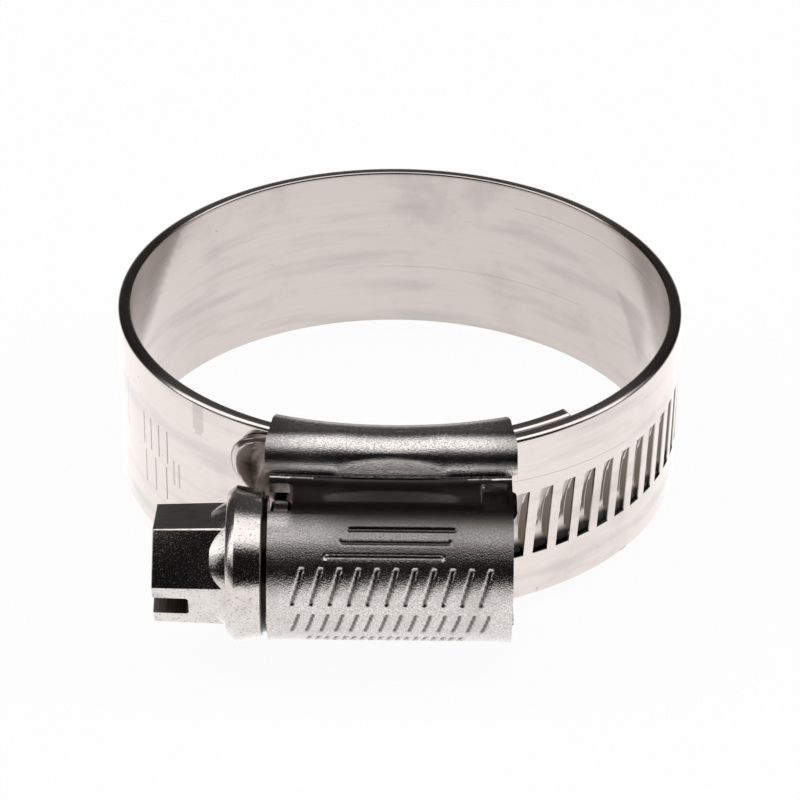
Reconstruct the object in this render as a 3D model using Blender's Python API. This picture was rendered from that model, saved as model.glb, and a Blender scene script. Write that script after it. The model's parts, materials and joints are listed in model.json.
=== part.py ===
"""Worm drive hose clamp for Blender 4.5.

One strip of stainless steel is rolled into a ring of a little over one turn.
Its inner end lies under the pressed housing. Its outer end is slotted, passes
through the housing, and is drawn along by the thread of the worm screw.
The ring's axis is Z, the housing sits at -Y, and the screw's axis runs along X.
"""

import math

import bmesh
import bpy
from mathutils import Vector

# Ring of the band: radius of its outer face half way round, strip and lap
RING_RADIUS = 0.0200
BAND_WIDTH = 0.0130
BAND_THICKNESS = 0.0009
BAND_EDGE_RADIUS = 0.00025
LAP_GAP = 0.0001
BAND_STEP = math.radians(4.0)
STATION_INSET = 0.02

# Free end of the band: two rounded lobes, with a hollow between them
FREE_END_REACH = 0.01175
LOBE_LENGTH = 0.0034
LOBE_WIDTH = 0.0046
LOBE_INSET = 0.0004
LOBE_SQUARENESS = 2.8
LOBE_ROWS = (0.0, 0.5, 0.8, 0.95, 1.0)

# Inner end of the band: it reaches past the housing and has cut corners
TAIL_REACH = 0.0134
TAIL_CORNER = 0.0012

# Slots pressed into the band's outer face for the screw thread
SLOT_PITCH = 0.00186
SLOT_START = 0.00128
SLOT_LAST_ANGLE = math.radians(93.0)
SLOT_WIDTH = 0.00105
SLOT_FLOOR_WIDTH = 0.00062
SLOT_TOP = 0.00205
SLOT_BOTTOM = -0.00300
SLOT_DEPTH = 0.00055
SLOT_TOP_DEPTH = 0.00015
SLOT_LEAN = math.radians(4.0)
SLOT_ROWS = (0.0, 0.45, 0.8, 1.0)
CUTTER_OVERSHOOT = 0.0002

# Housing: one sheet wrapped round both layers of the band and the screw
SHEET = 0.0007
BAND_CLEARANCE = 0.0002
HOUSING_LENGTH = 0.01593
HOUSING_SHIFT = -0.000215
ROLL_OVERHANG = 0.00035
INNER_SHEET_LENGTH = 0.0148
ROLL_CLEARANCE = 0.0003
ROLL_RADIUS = 0.0015
ROLL_FLATTENING = 0.00033
ROLL_STEPS = 6
NECK_STEPS = 4
SEAM_GAP = 0.0004
NECK_FILLET = 0.00065
NECK_WALL = 0.00005
BARREL_RADIUS = 0.00498
BARREL_STEPS = 20
HOUSING_STATIONS = 14

# Window at the head end of the housing, and pressed dimple at its other end
WINDOW_LENGTH = 0.0016
WINDOW_WIDTH = 0.0035
DIMPLE_LENGTH = 0.00165
DIMPLE_WIDTH = 0.0026
DIMPLE_DEPTH = 0.00035
DIMPLE_INSET = 0.0003
DIMPLE_SETBACK = 0.0009

# Worm screw, from its hexagon head to its far end
THREAD_CLEARANCE = 0.00048
THREAD_DEPTH = 0.00090
THREAD_CREST = 0.00034
THREAD_ROOT = 0.00100
THREAD_ENGAGEMENT = 0.00025
THREAD_INSET = 0.0016
THREAD_RUNOUT_TURNS = 0.33
THREAD_TIP_SHARE = 0.12
THREAD_ROOTING = 0.0003
HEX_FLATS = 0.0070
HEX_LENGTH = 0.00480
HEX_TAPER = 0.00030
HEX_TURN = math.radians(4.3)
HEX_CONE_LENGTH = 0.00106
COLLAR_LENGTH = 0.00237
COLLAR_RADIUS = 0.00516
COLLAR_BACK_RADIUS = 0.00480
COLLAR_CHAMFER = 0.00055
COLLAR_GAP = 0.00033
JOURNAL_CLEARANCE = 0.00022
JOURNAL_LENGTH = 0.0015
JOURNAL_CHAMFER = 0.0003
DRIVER_SLOT_WIDTH = 0.0016
DRIVER_SLOT_DEPTH = 0.0022
TURN_STEPS = 48
THREAD_STEPS = 32

# Values that follow from the ones above
LAP_PITCH = BAND_THICKNESS + LAP_GAP
BORE_RADIUS = BARREL_RADIUS - SHEET
THREAD_RADIUS = BORE_RADIUS - THREAD_CLEARANCE
AXIS_OUT = RING_RADIUS + LAP_PITCH / 2 - THREAD_ENGAGEMENT + THREAD_RADIUS
CORE_RADIUS = THREAD_RADIUS - THREAD_DEPTH
HEAD_SIDE = HOUSING_SHIFT - HOUSING_LENGTH / 2
FAR_SIDE = HOUSING_SHIFT + HOUSING_LENGTH / 2
COLLAR_FACE = HEAD_SIDE - COLLAR_GAP
HEX_BASE = COLLAR_FACE - COLLAR_LENGTH
HEX_END = HEX_BASE - HEX_LENGTH
FREE_ANGLE = -FREE_END_REACH / (RING_RADIUS + LAP_PITCH / 2)
TAIL_ANGLE = math.tau + TAIL_REACH / (RING_RADIUS - LAP_PITCH)
LOBE_CENTRE = (BAND_WIDTH - LOBE_WIDTH) / 2 - LOBE_INSET


def clear_scene():
    """Remove whatever the open file holds."""
    for item in list(bpy.data.objects):
        bpy.data.objects.remove(item, do_unlink=True)


def steel(name, colour, roughness):
    """Bare stainless steel with its own tint and polish."""
    material = bpy.data.materials.new(name)
    material.use_nodes = True
    shader = material.node_tree.nodes["Principled BSDF"]
    shader.inputs["Base Color"].default_value = (*colour, 1.0)
    shader.inputs["Metallic"].default_value = 1.0
    shader.inputs["Roughness"].default_value = roughness
    return material


def add_object(name, bm, material=None):
    """Turn a bmesh into an object of the scene, with its faces pointing out."""
    bmesh.ops.recalc_face_normals(bm, faces=bm.faces)
    mesh = bpy.data.meshes.new(name)
    bm.to_mesh(mesh)
    bm.free()
    item = bpy.data.objects.new(name, mesh)
    bpy.context.scene.collection.objects.link(item)
    if material is not None:
        mesh.materials.append(material)
    return item


def as_cutter(item):
    """Keep a helper solid out of the finished part."""
    item.hide_render = True
    item.display_type = "WIRE"
    return item


def combine(item, other, operation):
    """Add, cut or join another solid with a Boolean modifier."""
    step = item.modifiers.new(other.name, "BOOLEAN")
    step.operation = operation
    step.object = as_cutter(other)


def finish_round(item, angle):
    """Shade the curved faces smooth and keep edges sharper than the angle."""
    item.data.shade_smooth()
    item.data.set_sharp_from_angle(angle=angle)


def skin(bm, rings, closed=True, capped=True):
    """Loft faces through rings that hold the same number of points."""
    loops = []
    for ring in rings:
        loops.append([bm.verts.new(point) for point in ring])
    count = len(loops[0])
    sides = count if closed else count - 1
    for here, there in zip(loops, loops[1:]):
        for index in range(sides):
            after = (index + 1) % count
            bm.faces.new((here[index], here[after], there[after], there[index]))
    if capped:
        bm.faces.new(loops[0])
        bm.faces.new(loops[-1])
    return loops


def arc(centre_x, centre_y, radius, start, end, steps):
    """Points of a circular arc, in the plane of the profile."""
    points = []
    for index in range(steps + 1):
        angle = start + (end - start) * index / steps
        across = centre_x + radius * math.cos(angle)
        points.append((across, centre_y + radius * math.sin(angle)))
    return points


def on_ring(angle, radius, height):
    """Point on the ring, with angle 0 in the middle of the housing."""
    return Vector((radius * math.sin(angle), -radius * math.cos(angle), height))


def spiral_radius(angle):
    """Radius of the band's outer face, which winds in by one layer a turn."""
    return RING_RADIUS + LAP_PITCH * (0.5 - angle / math.tau)


def free_end_cut(height):
    """How far the free end falls short of its lobes' tips at a height."""
    aside = abs(abs(height) - LOBE_CENTRE) / (LOBE_WIDTH / 2)
    rise = max(0.0, 1.0 - aside ** LOBE_SQUARENESS) ** (1.0 / LOBE_SQUARENESS)
    return LOBE_LENGTH * (1.0 - rise)


def tail_cut(height):
    """How far the inner end falls short of its tip at a height."""
    return max(0.0, abs(height) - (BAND_WIDTH / 2 - TAIL_CORNER))


def band_heights():
    """Heights of the rows across the strip, closer on the lobes' flanks."""
    flat = BAND_WIDTH / 2 - BAND_EDGE_RADIUS
    rows = {0.0, flat, BAND_WIDTH / 2 - TAIL_CORNER}
    for share in LOBE_ROWS:
        rows.add(LOBE_CENTRE + share * LOBE_WIDTH / 2)
        rows.add(LOBE_CENTRE - share * LOBE_WIDTH / 2)
    ordered = sorted(rows)
    return [-height for height in reversed(ordered[1:])] + ordered


def band_section():
    """Rounded section of the strip, as pairs of depth and height."""
    heights = band_heights()
    radius = BAND_EDGE_RADIUS
    top = BAND_WIDTH / 2 - radius
    outer = [(0.0, height) for height in heights]
    crown = arc(radius, top, radius, math.pi, math.pi / 2, 2)[1:]
    inner_crown = arc(BAND_THICKNESS - radius, top, radius, math.pi / 2, 0.0, 2)[:-1]
    inner = [(BAND_THICKNESS, height) for height in reversed(heights)]
    foot = [(depth, -height) for depth, height in reversed(crown + inner_crown)]
    return outer + crown + inner_crown + inner + foot


def band_station(section, angle):
    """One cross-section of the strip, with its ends cut to their outlines."""
    points = []
    for depth, height in section:
        first = FREE_ANGLE + free_end_cut(height) / spiral_radius(FREE_ANGLE)
        last = TAIL_ANGLE - tail_cut(height) / spiral_radius(TAIL_ANGLE)
        here = min(max(angle, first), last)
        points.append(on_ring(here, spiral_radius(here) - depth, height))
    return points


def band_angles():
    """Angles of the cross-sections along the strip."""
    lobe_end = FREE_ANGLE + LOBE_LENGTH / spiral_radius(FREE_ANGLE)
    tail_start = TAIL_ANGLE - TAIL_CORNER / spiral_radius(TAIL_ANGLE)
    steps = math.ceil((tail_start - lobe_end) / BAND_STEP)
    angles = [FREE_ANGLE]
    for index in range(steps + 1):
        share = (index + STATION_INSET) / (steps + 2 * STATION_INSET)
        angles.append(lobe_end + (tail_start - lobe_end) * share)
    angles.append(TAIL_ANGLE)
    return angles


def slot_depth(height):
    """Depth of a slot: full from its foot to the middle, then rising to its top."""
    if height <= 0.0:
        return SLOT_DEPTH
    rise = math.sqrt(max(0.0, 1.0 - (height / SLOT_TOP) ** 2))
    return SLOT_TOP_DEPTH + (SLOT_DEPTH - SLOT_TOP_DEPTH) * rise


def add_slot(bm, middle):
    """One leaning recess, steep on its leading flank and sloping on the other."""
    overshoot = CUTTER_OVERSHOOT
    heights = [SLOT_BOTTOM] + [SLOT_TOP * share for share in SLOT_ROWS]
    rings = []
    for height in heights:
        lean = (height - (SLOT_TOP + SLOT_BOTTOM) / 2) * math.tan(SLOT_LEAN)
        depth = slot_depth(height)
        right = middle + lean + SLOT_WIDTH / 2
        left = right - SLOT_WIDTH
        floor_left = right - SLOT_FLOOR_WIDTH - (SLOT_WIDTH - SLOT_FLOOR_WIDTH) / 3
        floor_right = floor_left + SLOT_FLOOR_WIDTH
        slope = (floor_left - left) / depth
        outline = (
            (left - slope * overshoot, -overshoot),
            (right + overshoot * (right - floor_right) / depth, -overshoot),
            (floor_right, depth),
            (floor_left, depth),
        )
        ring = []
        for along, below in outline:
            angle = along / spiral_radius(0.0)
            ring.append(on_ring(angle, spiral_radius(angle) - below, height))
        rings.append(ring)
    skin(bm, rings)


def build_band(material):
    """The strip, rolled into a ring, with the row of pressed slots."""
    section = band_section()
    bm = bmesh.new()
    skin(bm, [band_station(section, angle) for angle in band_angles()])
    bmesh.ops.remove_doubles(bm, verts=bm.verts, dist=1e-7)
    bmesh.ops.dissolve_limit(
        bm, angle_limit=math.radians(0.3), verts=bm.verts, edges=bm.edges)
    band = add_object("band", bm, material)

    slots = bmesh.new()
    first = math.ceil((LOBE_LENGTH - FREE_END_REACH - SLOT_START) / SLOT_PITCH) + 1
    last = math.floor((SLOT_LAST_ANGLE * RING_RADIUS - SLOT_START) / SLOT_PITCH)
    for index in range(first, last + 1):
        add_slot(slots, SLOT_START + index * SLOT_PITCH)
    combine(band, add_object("slot_cutters", slots), "DIFFERENCE")
    finish_round(band, math.radians(30.0))
    return band


def roll_faces(along):
    """Mid-sheet distances of the roll's inner and outer side from the ring's axis."""
    half_turn = FREE_END_REACH / RING_RADIUS
    winding = LAP_PITCH * half_turn / math.tau
    inner_ring = RING_RADIUS - LAP_PITCH / 2 - BAND_THICKNESS - winding
    inner_ring -= BAND_CLEARANCE + SHEET / 2
    outer_ring = RING_RADIUS + LAP_PITCH / 2 + winding
    outer_ring += BAND_CLEARANCE + SHEET / 2
    share = along / (HOUSING_LENGTH / 2)
    inner = math.sqrt(inner_ring ** 2 - along ** 2)
    return inner, outer_ring - ROLL_FLATTENING * share ** 2


def half_profile(along):
    """Upper half of the sheet's middle line, from the seam to the barrel's front."""
    inner, outer = roll_faces(along)
    bend = ROLL_RADIUS - SHEET / 2
    foot = BAND_WIDTH / 2 + ROLL_CLEARANCE + SHEET / 2 - bend
    profile = [(inner, SEAM_GAP / 2), (inner, foot / 2)]
    profile += arc(inner + bend, foot, bend, math.pi, math.pi / 2, ROLL_STEPS)
    profile += arc(outer - bend, foot, bend, math.pi / 2, 0.0, ROLL_STEPS)
    barrel = BARREL_RADIUS - SHEET / 2
    shoulder = min(barrel, foot - NECK_WALL - NECK_FILLET)
    corner = (outer + NECK_FILLET, shoulder + NECK_FILLET)
    profile += arc(*corner, NECK_FILLET, math.pi, 1.5 * math.pi, NECK_STEPS)
    meeting = math.pi - math.asin(shoulder / barrel)
    meeting_out = AXIS_OUT + barrel * math.cos(meeting)
    profile.append(((outer + NECK_FILLET + meeting_out) / 2, shoulder))
    profile += arc(AXIS_OUT, 0.0, barrel, meeting, 0.0, BARREL_STEPS // 2)
    return profile


def half_length(outward):
    """Half the sheet's length along X at a distance of its middle line from the ring's axis."""
    inner, outer = roll_faces(0.0)
    if outward > outer:
        return HOUSING_LENGTH / 2
    share = min(1.0, max(0.0, (outward - inner) / (outer - inner)))
    eased = math.sin(share * math.pi / 2)
    short = INNER_SHEET_LENGTH / 2
    return short + (HOUSING_LENGTH / 2 + ROLL_OVERHANG - short) * eased


def build_housing(material):
    """Sheet-metal housing: its middle surface, given its thickness by Solidify."""
    bm = bmesh.new()
    rings = []
    for index in range(HOUSING_STATIONS + 1):
        share = 2.0 * index / HOUSING_STATIONS - 1.0
        upper = half_profile(share * HOUSING_LENGTH / 2)
        middle = half_profile(0.0)
        ring = []
        for (outward, height), (base_out, _) in zip(upper, middle):
            along = share * half_length(base_out)
            ring.append(Vector((HOUSING_SHIFT + along, -outward, height)))
        lower = [Vector((p.x, p.y, -p.z)) for p in reversed(ring[:-1])]
        rings.append(ring + lower)
    skin(bm, rings, closed=False, capped=False)
    housing = add_object("housing", bm, material)
    wall = housing.modifiers.new("sheet thickness", "SOLIDIFY")
    wall.thickness = SHEET
    wall.offset = 0.0
    wall.use_even_offset = True
    combine(housing, window_cutter(), "DIFFERENCE")
    combine(housing, dimple_cutter(), "DIFFERENCE")
    finish_round(housing, math.radians(35.0))
    return housing


def add_block(bm, low, high):
    """Closed box between two corners."""
    created = bmesh.ops.create_cube(bm, size=1.0)["verts"]
    for vert in created:
        for axis in range(3):
            middle = (low[axis] + high[axis]) / 2
            vert.co[axis] = middle + vert.co[axis] * (high[axis] - low[axis])
    return created


def window_cutter():
    """Opening in the neck, above and below the band, beside the screw's journal."""
    bm = bmesh.new()
    _, outer = roll_faces(HOUSING_LENGTH / 2)
    near = outer + SHEET
    reach = BARREL_RADIUS + SHEET
    shelf = BARREL_RADIUS - 2 * SHEET
    for side in (1, -1):
        low = min(side * shelf, side * reach)
        high = max(side * shelf, side * reach)
        add_block(
            bm,
            (HEAD_SIDE - WINDOW_LENGTH, -near - WINDOW_WIDTH, low),
            (HEAD_SIDE + WINDOW_LENGTH, -near, high))
    return add_object("window_cutters", bm)


def dimple_cutter():
    """Punch mark in the sheet's shoulder at the far end, above and below."""
    bm = bmesh.new()
    far = FAR_SIDE - DIMPLE_INSET
    middle = DIMPLE_SETBACK - AXIS_OUT
    floor = BARREL_RADIUS - DIMPLE_DEPTH
    reach = BARREL_RADIUS + SHEET
    for side in (1, -1):
        low = min(side * floor, side * reach)
        high = max(side * floor, side * reach)
        add_block(
            bm,
            (far - DIMPLE_LENGTH, middle - DIMPLE_WIDTH / 2, low),
            (far, middle + DIMPLE_WIDTH / 2, high))
    return add_object("dimple_cutters", bm)


def screw_point(along, radius, angle):
    """Point about the screw's axis; angle 0 faces outwards, away from the ring."""
    return Vector((along, -AXIS_OUT - radius * math.cos(angle), radius * math.sin(angle)))


def turned(bm, profile, steps):
    """Solid of revolution about the screw's axis, from pairs of x and radius."""
    rings = []
    for along, radius in profile:
        ring = [screw_point(along, radius, math.tau * k / steps) for k in range(steps)]
        rings.append(ring)
    skin(bm, rings)


def screw_body():
    """Turned part of the screw: cone, collar, journal, neck, core and far end."""
    corner = HEX_FLATS / math.sqrt(3)
    journal = BORE_RADIUS - JOURNAL_CLEARANCE
    journal_end = COLLAR_FACE + COLLAR_GAP + JOURNAL_LENGTH
    profile = [
        (HEX_BASE - HEX_CONE_LENGTH, HEX_FLATS / 2),
        (HEX_BASE, corner),
        (HEX_BASE, COLLAR_RADIUS - COLLAR_CHAMFER),
        (HEX_BASE + COLLAR_CHAMFER, COLLAR_RADIUS),
        (COLLAR_FACE, COLLAR_BACK_RADIUS),
        (COLLAR_FACE, journal),
        (journal_end - JOURNAL_CHAMFER, journal),
        (journal_end, journal - JOURNAL_CHAMFER),
        (journal_end, CORE_RADIUS),
        (FAR_SIDE - COLLAR_GAP - JOURNAL_CHAMFER, CORE_RADIUS),
        (FAR_SIDE - COLLAR_GAP, CORE_RADIUS - JOURNAL_CHAMFER),
    ]
    bm = bmesh.new()
    turned(bm, profile, TURN_STEPS)
    return bm


def hexagon_head():
    """Hexagon head, a little smaller at its outer end, sunk into the collar."""
    bm = bmesh.new()
    rings = []
    ends = (
        (HEX_END, HEX_FLATS - HEX_TAPER),
        (HEX_BASE, HEX_FLATS),
        (HEX_BASE + COLLAR_CHAMFER, HEX_FLATS),
    )
    for along, flats in ends:
        corner = flats / math.sqrt(3)
        ring = [screw_point(along, corner, HEX_TURN + k * math.pi / 3) for k in range(6)]
        rings.append(ring)
    skin(bm, rings)
    return add_object("hexagon_head", bm)


def driver_slot():
    """Cut for a flat screwdriver, across two of the hexagon's flats."""
    bm = bmesh.new()
    half = DRIVER_SLOT_WIDTH / 2
    created = add_block(
        bm, (HEX_END - HEX_LENGTH, -HEX_FLATS, -half),
        (HEX_END + DRIVER_SLOT_DEPTH, HEX_FLATS, half))
    turn = HEX_TURN - math.pi / 6
    for vert in created:
        y, z = vert.co.y, vert.co.z
        vert.co.y = y * math.cos(turn) + z * math.sin(turn) - AXIS_OUT
        vert.co.z = z * math.cos(turn) - y * math.sin(turn)
    return add_object("driver_slot", bm)


def worm_thread():
    """Helical ridge of the worm, right-handed, in step with the band's slots."""
    start = HEAD_SIDE + JOURNAL_LENGTH + THREAD_ROOT
    end = FAR_SIDE - THREAD_INSET
    turns = (end - start) / SLOT_PITCH
    steps = math.ceil(turns * THREAD_STEPS)
    bm = bmesh.new()
    rings = []
    for index in range(steps + 1):
        share = index / steps
        along = start + (end - start) * share
        turn = math.tau * (along - SLOT_START) / SLOT_PITCH
        from_end = min(share, 1.0 - share) * turns
        fade = min(1.0, from_end / THREAD_RUNOUT_TURNS)
        crest = CORE_RADIUS + THREAD_DEPTH * max(THREAD_TIP_SHARE, fade)
        sunk = CORE_RADIUS - THREAD_ROOTING
        outline = (
            (-THREAD_ROOT / 2, sunk),
            (-THREAD_ROOT / 2, CORE_RADIUS),
            (-THREAD_CREST / 2, crest),
            (THREAD_CREST / 2, crest),
            (THREAD_ROOT / 2, CORE_RADIUS),
            (THREAD_ROOT / 2, sunk),
        )
        # The ridge meets a slot where it faces the ring, half a turn from outwards
        ring = [screw_point(along + shift, radius, math.pi - turn) for shift, radius in outline]
        rings.append(ring)
    skin(bm, rings)
    return add_object("worm_thread", bm)


def build_screw(material):
    """Worm screw: head, collar and thread are one piece."""
    screw = add_object("worm_screw", screw_body(), material)
    combine(screw, hexagon_head(), "UNION")
    combine(screw, driver_slot(), "DIFFERENCE")
    combine(screw, worm_thread(), "UNION")
    finish_round(screw, math.radians(30.0))
    return screw


def stand_on_origin(items):
    """Bring the middle of the part's underside to the world's origin."""
    bpy.context.view_layer.update()
    graph = bpy.context.evaluated_depsgraph_get()
    low = Vector((math.inf,) * 3)
    high = Vector((-math.inf,) * 3)
    for item in items:
        for vert in item.evaluated_get(graph).data.vertices:
            place = item.matrix_world @ vert.co
            for axis in range(3):
                low[axis] = min(low[axis], place[axis])
                high[axis] = max(high[axis], place[axis])
    frame = bpy.data.objects.new("clamp_frame", None)
    bpy.context.scene.collection.objects.link(frame)
    frame.location = (-(low.x + high.x) / 2, -(low.y + high.y) / 2, -low.z)
    for item in bpy.data.objects:
        if item.type == "MESH" and item.parent is None:
            item.parent = frame
    bpy.context.view_layer.update()
    return frame


def main():
    clear_scene()
    band = build_band(steel("band steel", (0.80, 0.77, 0.75), 0.16))
    housing = build_housing(steel("housing steel", (0.62, 0.60, 0.59), 0.24))
    screw = build_screw(steel("screw steel", (0.66, 0.65, 0.63), 0.20))
    frame = stand_on_origin((band, housing, screw))
    axis = frame.matrix_world @ Vector((0.0, -AXIS_OUT, 0.0))
    print("screw axis passes through", [round(value, 6) for value in axis])


main()
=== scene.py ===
# %% [markdown]
# # Worm drive hose clamp
#
# The clamp is three pieces of stainless steel: a slotted strip rolled into a ring,
# a pressed housing wrapped round the strip's two layers, and a worm screw that
# turns in the housing and draws the strip along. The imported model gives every
# place and size, and this lesson makes the surfaces that are seen.

# %% Load the frame
import json
import math

import bpy
import numpy as np
from mathutils import Matrix, Quaternion, Vector


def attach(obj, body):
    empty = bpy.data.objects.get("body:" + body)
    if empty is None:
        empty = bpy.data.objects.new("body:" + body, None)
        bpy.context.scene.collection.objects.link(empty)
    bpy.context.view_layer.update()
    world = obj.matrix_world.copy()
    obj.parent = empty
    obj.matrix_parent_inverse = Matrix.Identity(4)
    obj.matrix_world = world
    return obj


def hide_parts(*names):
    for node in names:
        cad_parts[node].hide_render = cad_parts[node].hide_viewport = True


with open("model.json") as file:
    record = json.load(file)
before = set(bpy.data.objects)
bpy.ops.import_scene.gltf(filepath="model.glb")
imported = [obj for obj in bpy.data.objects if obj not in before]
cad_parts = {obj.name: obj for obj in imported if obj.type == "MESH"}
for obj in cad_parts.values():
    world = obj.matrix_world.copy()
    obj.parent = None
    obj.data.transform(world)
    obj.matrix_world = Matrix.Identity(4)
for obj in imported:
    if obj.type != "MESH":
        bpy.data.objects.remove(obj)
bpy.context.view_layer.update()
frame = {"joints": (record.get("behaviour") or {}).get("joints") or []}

bpy.ops.object.select_all(action="DESELECT")

# %% [markdown]
# The screw's joint gives the screw's axis. The ring's own axis is 24.05 mm behind
# it, and all sizes below are measured from the ring's axis at half its height:
# `out` runs from there towards the housing, `along` beside the screw, `up` upwards.
# They are in millimetres, and `place` turns them into the model's metres.

# %% Shared places and sizes
MM = 0.001
SCREW_AXIS = Vector(frame["joints"][0]["pos_m"])
AXIS_OUT = 24.05
RING_CENTRE = SCREW_AXIS + Vector((0.0, AXIS_OUT * MM, 0.0))

RING_RADIUS = 20.0
BAND_WIDTH = 13.0
BAND_THICKNESS = 0.9
LAP_PITCH = 1.0
SHEET = 0.7
BARREL_RADIUS = 4.98
HOUSING_MIDDLE = -0.215
HOUSING_HALF = 7.965


def place(along, out, up):
    """Points in the model's space, from arrays of millimetres."""
    points = np.stack(np.broadcast_arrays(along, -np.asarray(out), up), axis=-1)
    return points * MM + np.array(RING_CENTRE)


print("ring centre", [round(value, 5) for value in RING_CENTRE])

# %% [markdown]
# Operators act on whatever is selected, so each step starts from a clean
# selection and says which piece it works on.


# %% Selecting pieces
def deselect():
    """Leave edit mode and select nothing."""
    if bpy.context.object is not None and bpy.context.object.mode != "OBJECT":
        bpy.ops.object.mode_set(mode="OBJECT")
    bpy.ops.object.select_all(action="DESELECT")


def activate(*items):
    """Select only these objects; the first one is the active one."""
    deselect()
    for item in items:
        item.select_set(True)
    bpy.context.view_layer.objects.active = items[0]


def edit(item):
    """Open one piece in edit mode, with all of it selected."""
    activate(item)
    bpy.ops.object.mode_set(mode="EDIT")
    bpy.ops.mesh.select_all(action="SELECT")


def select_borders(item):
    """Open one piece in edit mode, with only its open edges selected."""
    edit(item)
    bpy.ops.mesh.select_mode(type="EDGE")
    bpy.ops.mesh.select_all(action="DESELECT")
    bpy.ops.mesh.select_non_manifold(
        extend=False, use_wire=False, use_multi_face=False,
        use_non_contiguous=False, use_verts=False)


print("selected", len(bpy.context.selected_objects))

# %% [markdown]
# A pressed sheet is easiest to make as it is in the press: a flat blank, a grid of
# small faces, whose points are then moved onto the curved surface. The grid
# primitive gives the faces, and one array of places shapes it. Extruding and
# bending a strip by hand would also do, but not with slots that differ at every
# point. Depths and shades mostly fade from one value to another, so one helper
# says where such a change starts and where it ends.


# %% Blanks
def blank(name, points):
    """A grid primitive whose points take the places of a rows by columns array."""
    rows, columns = points.shape[:2]
    deselect()
    bpy.ops.mesh.primitive_grid_add(
        x_subdivisions=columns - 1, y_subdivisions=rows - 1, size=1.0)
    item = bpy.context.object
    item.name = item.data.name = name
    flat = np.empty(len(item.data.vertices) * 3)
    item.data.vertices.foreach_get("co", flat)
    flat = flat.reshape(-1, 3)
    column = np.rint((flat[:, 0] + 0.5) * (columns - 1)).astype(int)
    row = np.rint((flat[:, 1] + 0.5) * (rows - 1)).astype(int)
    item.data.vertices.foreach_set("co", points[row, column].astype(np.float32).ravel())
    item.data.update()
    return item, row, column


def ease(value, start, end):
    """Smooth change from 0 at the start to 1 at the end, which may be the smaller one."""
    share = np.clip((value - start) / (end - start), 0.0, 1.0)
    return share * share * (3.0 - 2.0 * share)


print("a quarter of the way, ease gives", float(ease(0.25, 0.0, 1.0)))

# %% [markdown]
# ## The band
#
# The strip is pressed while it is flat. Each slot takes one flank of the worm's
# thread: a ramp on one side and a steep wall on the other, which meet in a line,
# the valley, as curved as the worm is. That line comes first, because the depth,
# the grid's columns and the shades all follow it.

# %% Where the slots lie
SLOT_PITCH = 1.86
SLOT_START = 1.28
SLOT_WIDTH = 1.06
SLOT_TOP = 2.08
SLOT_BOTTOM = -3.02
SLOT_LEAN = math.tan(math.radians(4.0))
LEANING_HALF = 6.0
FIRST_SLOT = -4
LAST_SLOT = 16
VALLEY_MIDDLE = -0.28
VALLEY_HALF = 2.36
VALLEY_REACH = 0.46


def slot_left(index, ups):
    """Length at the ramp's side of a slot, at each height of its leaning line."""
    lean = (ups - (SLOT_TOP + SLOT_BOTTOM) / 2) * SLOT_LEAN * (np.abs(ups) < LEANING_HALF)
    return SLOT_START + index * SLOT_PITCH - SLOT_WIDTH / 2 + lean


def valley_bow(up):
    """How far the worm's curve reaches at a height, from 0 to 1."""
    return np.sqrt(np.clip(1.0 - ((up - VALLEY_MIDDLE) / VALLEY_HALF) ** 2, 0.0, 1.0))


def valley_share(up):
    """How far across the slot its deepest line runs, from the ramp's side."""
    return np.clip(1.0 - VALLEY_REACH * valley_bow(up), 0.3, 0.97)


print("slots", LAST_SLOT - FIRST_SLOT + 1, "valley at", round(float(valley_share(0.0)), 3))

# %% [markdown]
# A slot could be cut by a Boolean with a worm-shaped tool, once for each slot.
# That leaves long thin faces on a surface as bright as this one, and they show. A
# formula of the place in the slot gives the same depth on clean rows of faces.

# %% How deep a slot is
VALLEY_END_DEPTH = 0.06
VALLEY_BOW_DEPTH = 0.21
LOW_SIDE_DEPTH = 0.22
WALL_TOP_DEPTH = 0.10
WALL_LEAST_DEPTH = 0.05
LEAST_STEP = 0.02
RAMP_ROUNDING = 0.8
FOOT_SLOPE = math.tan(math.radians(33.0))


def slot_depth(across, up):
    """Depth at a share across the slot and a height, in millimetres."""
    valley = valley_share(up)
    side = LOW_SIDE_DEPTH * ease(up, -0.2, -1.9)
    deep = np.maximum(VALLEY_END_DEPTH + VALLEY_BOW_DEPTH * valley_bow(up), side + LEAST_STEP)
    ramp = side + (deep - side) * np.clip(across / valley, 0.0, 1.0) ** RAMP_ROUNDING
    up_the_wall = np.clip((across - valley) / (1.0 - valley), 0.0, 1.0)
    wall = np.maximum(deep + (WALL_TOP_DEPTH - deep) * up_the_wall, WALL_LEAST_DEPTH)
    foot = LEAST_STEP + (up - SLOT_BOTTOM) * FOOT_SLOPE
    depth = np.minimum(np.where(across < valley, ramp, wall), foot)
    inside = (across >= 0.0) & (across <= 1.0) & (up < SLOT_TOP) & (up > SLOT_BOTTOM)
    return np.where(inside, depth, 0.0)


print("depth at mid slot", round(float(slot_depth(0.45, 0.0)), 3))

# %% [markdown]
# The strip's edges are rolled round, tighter inside the ring than outside, so its
# rows gather there. The free end is cut to two rounded lobes, and the inner end
# has its corners cut.

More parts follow.
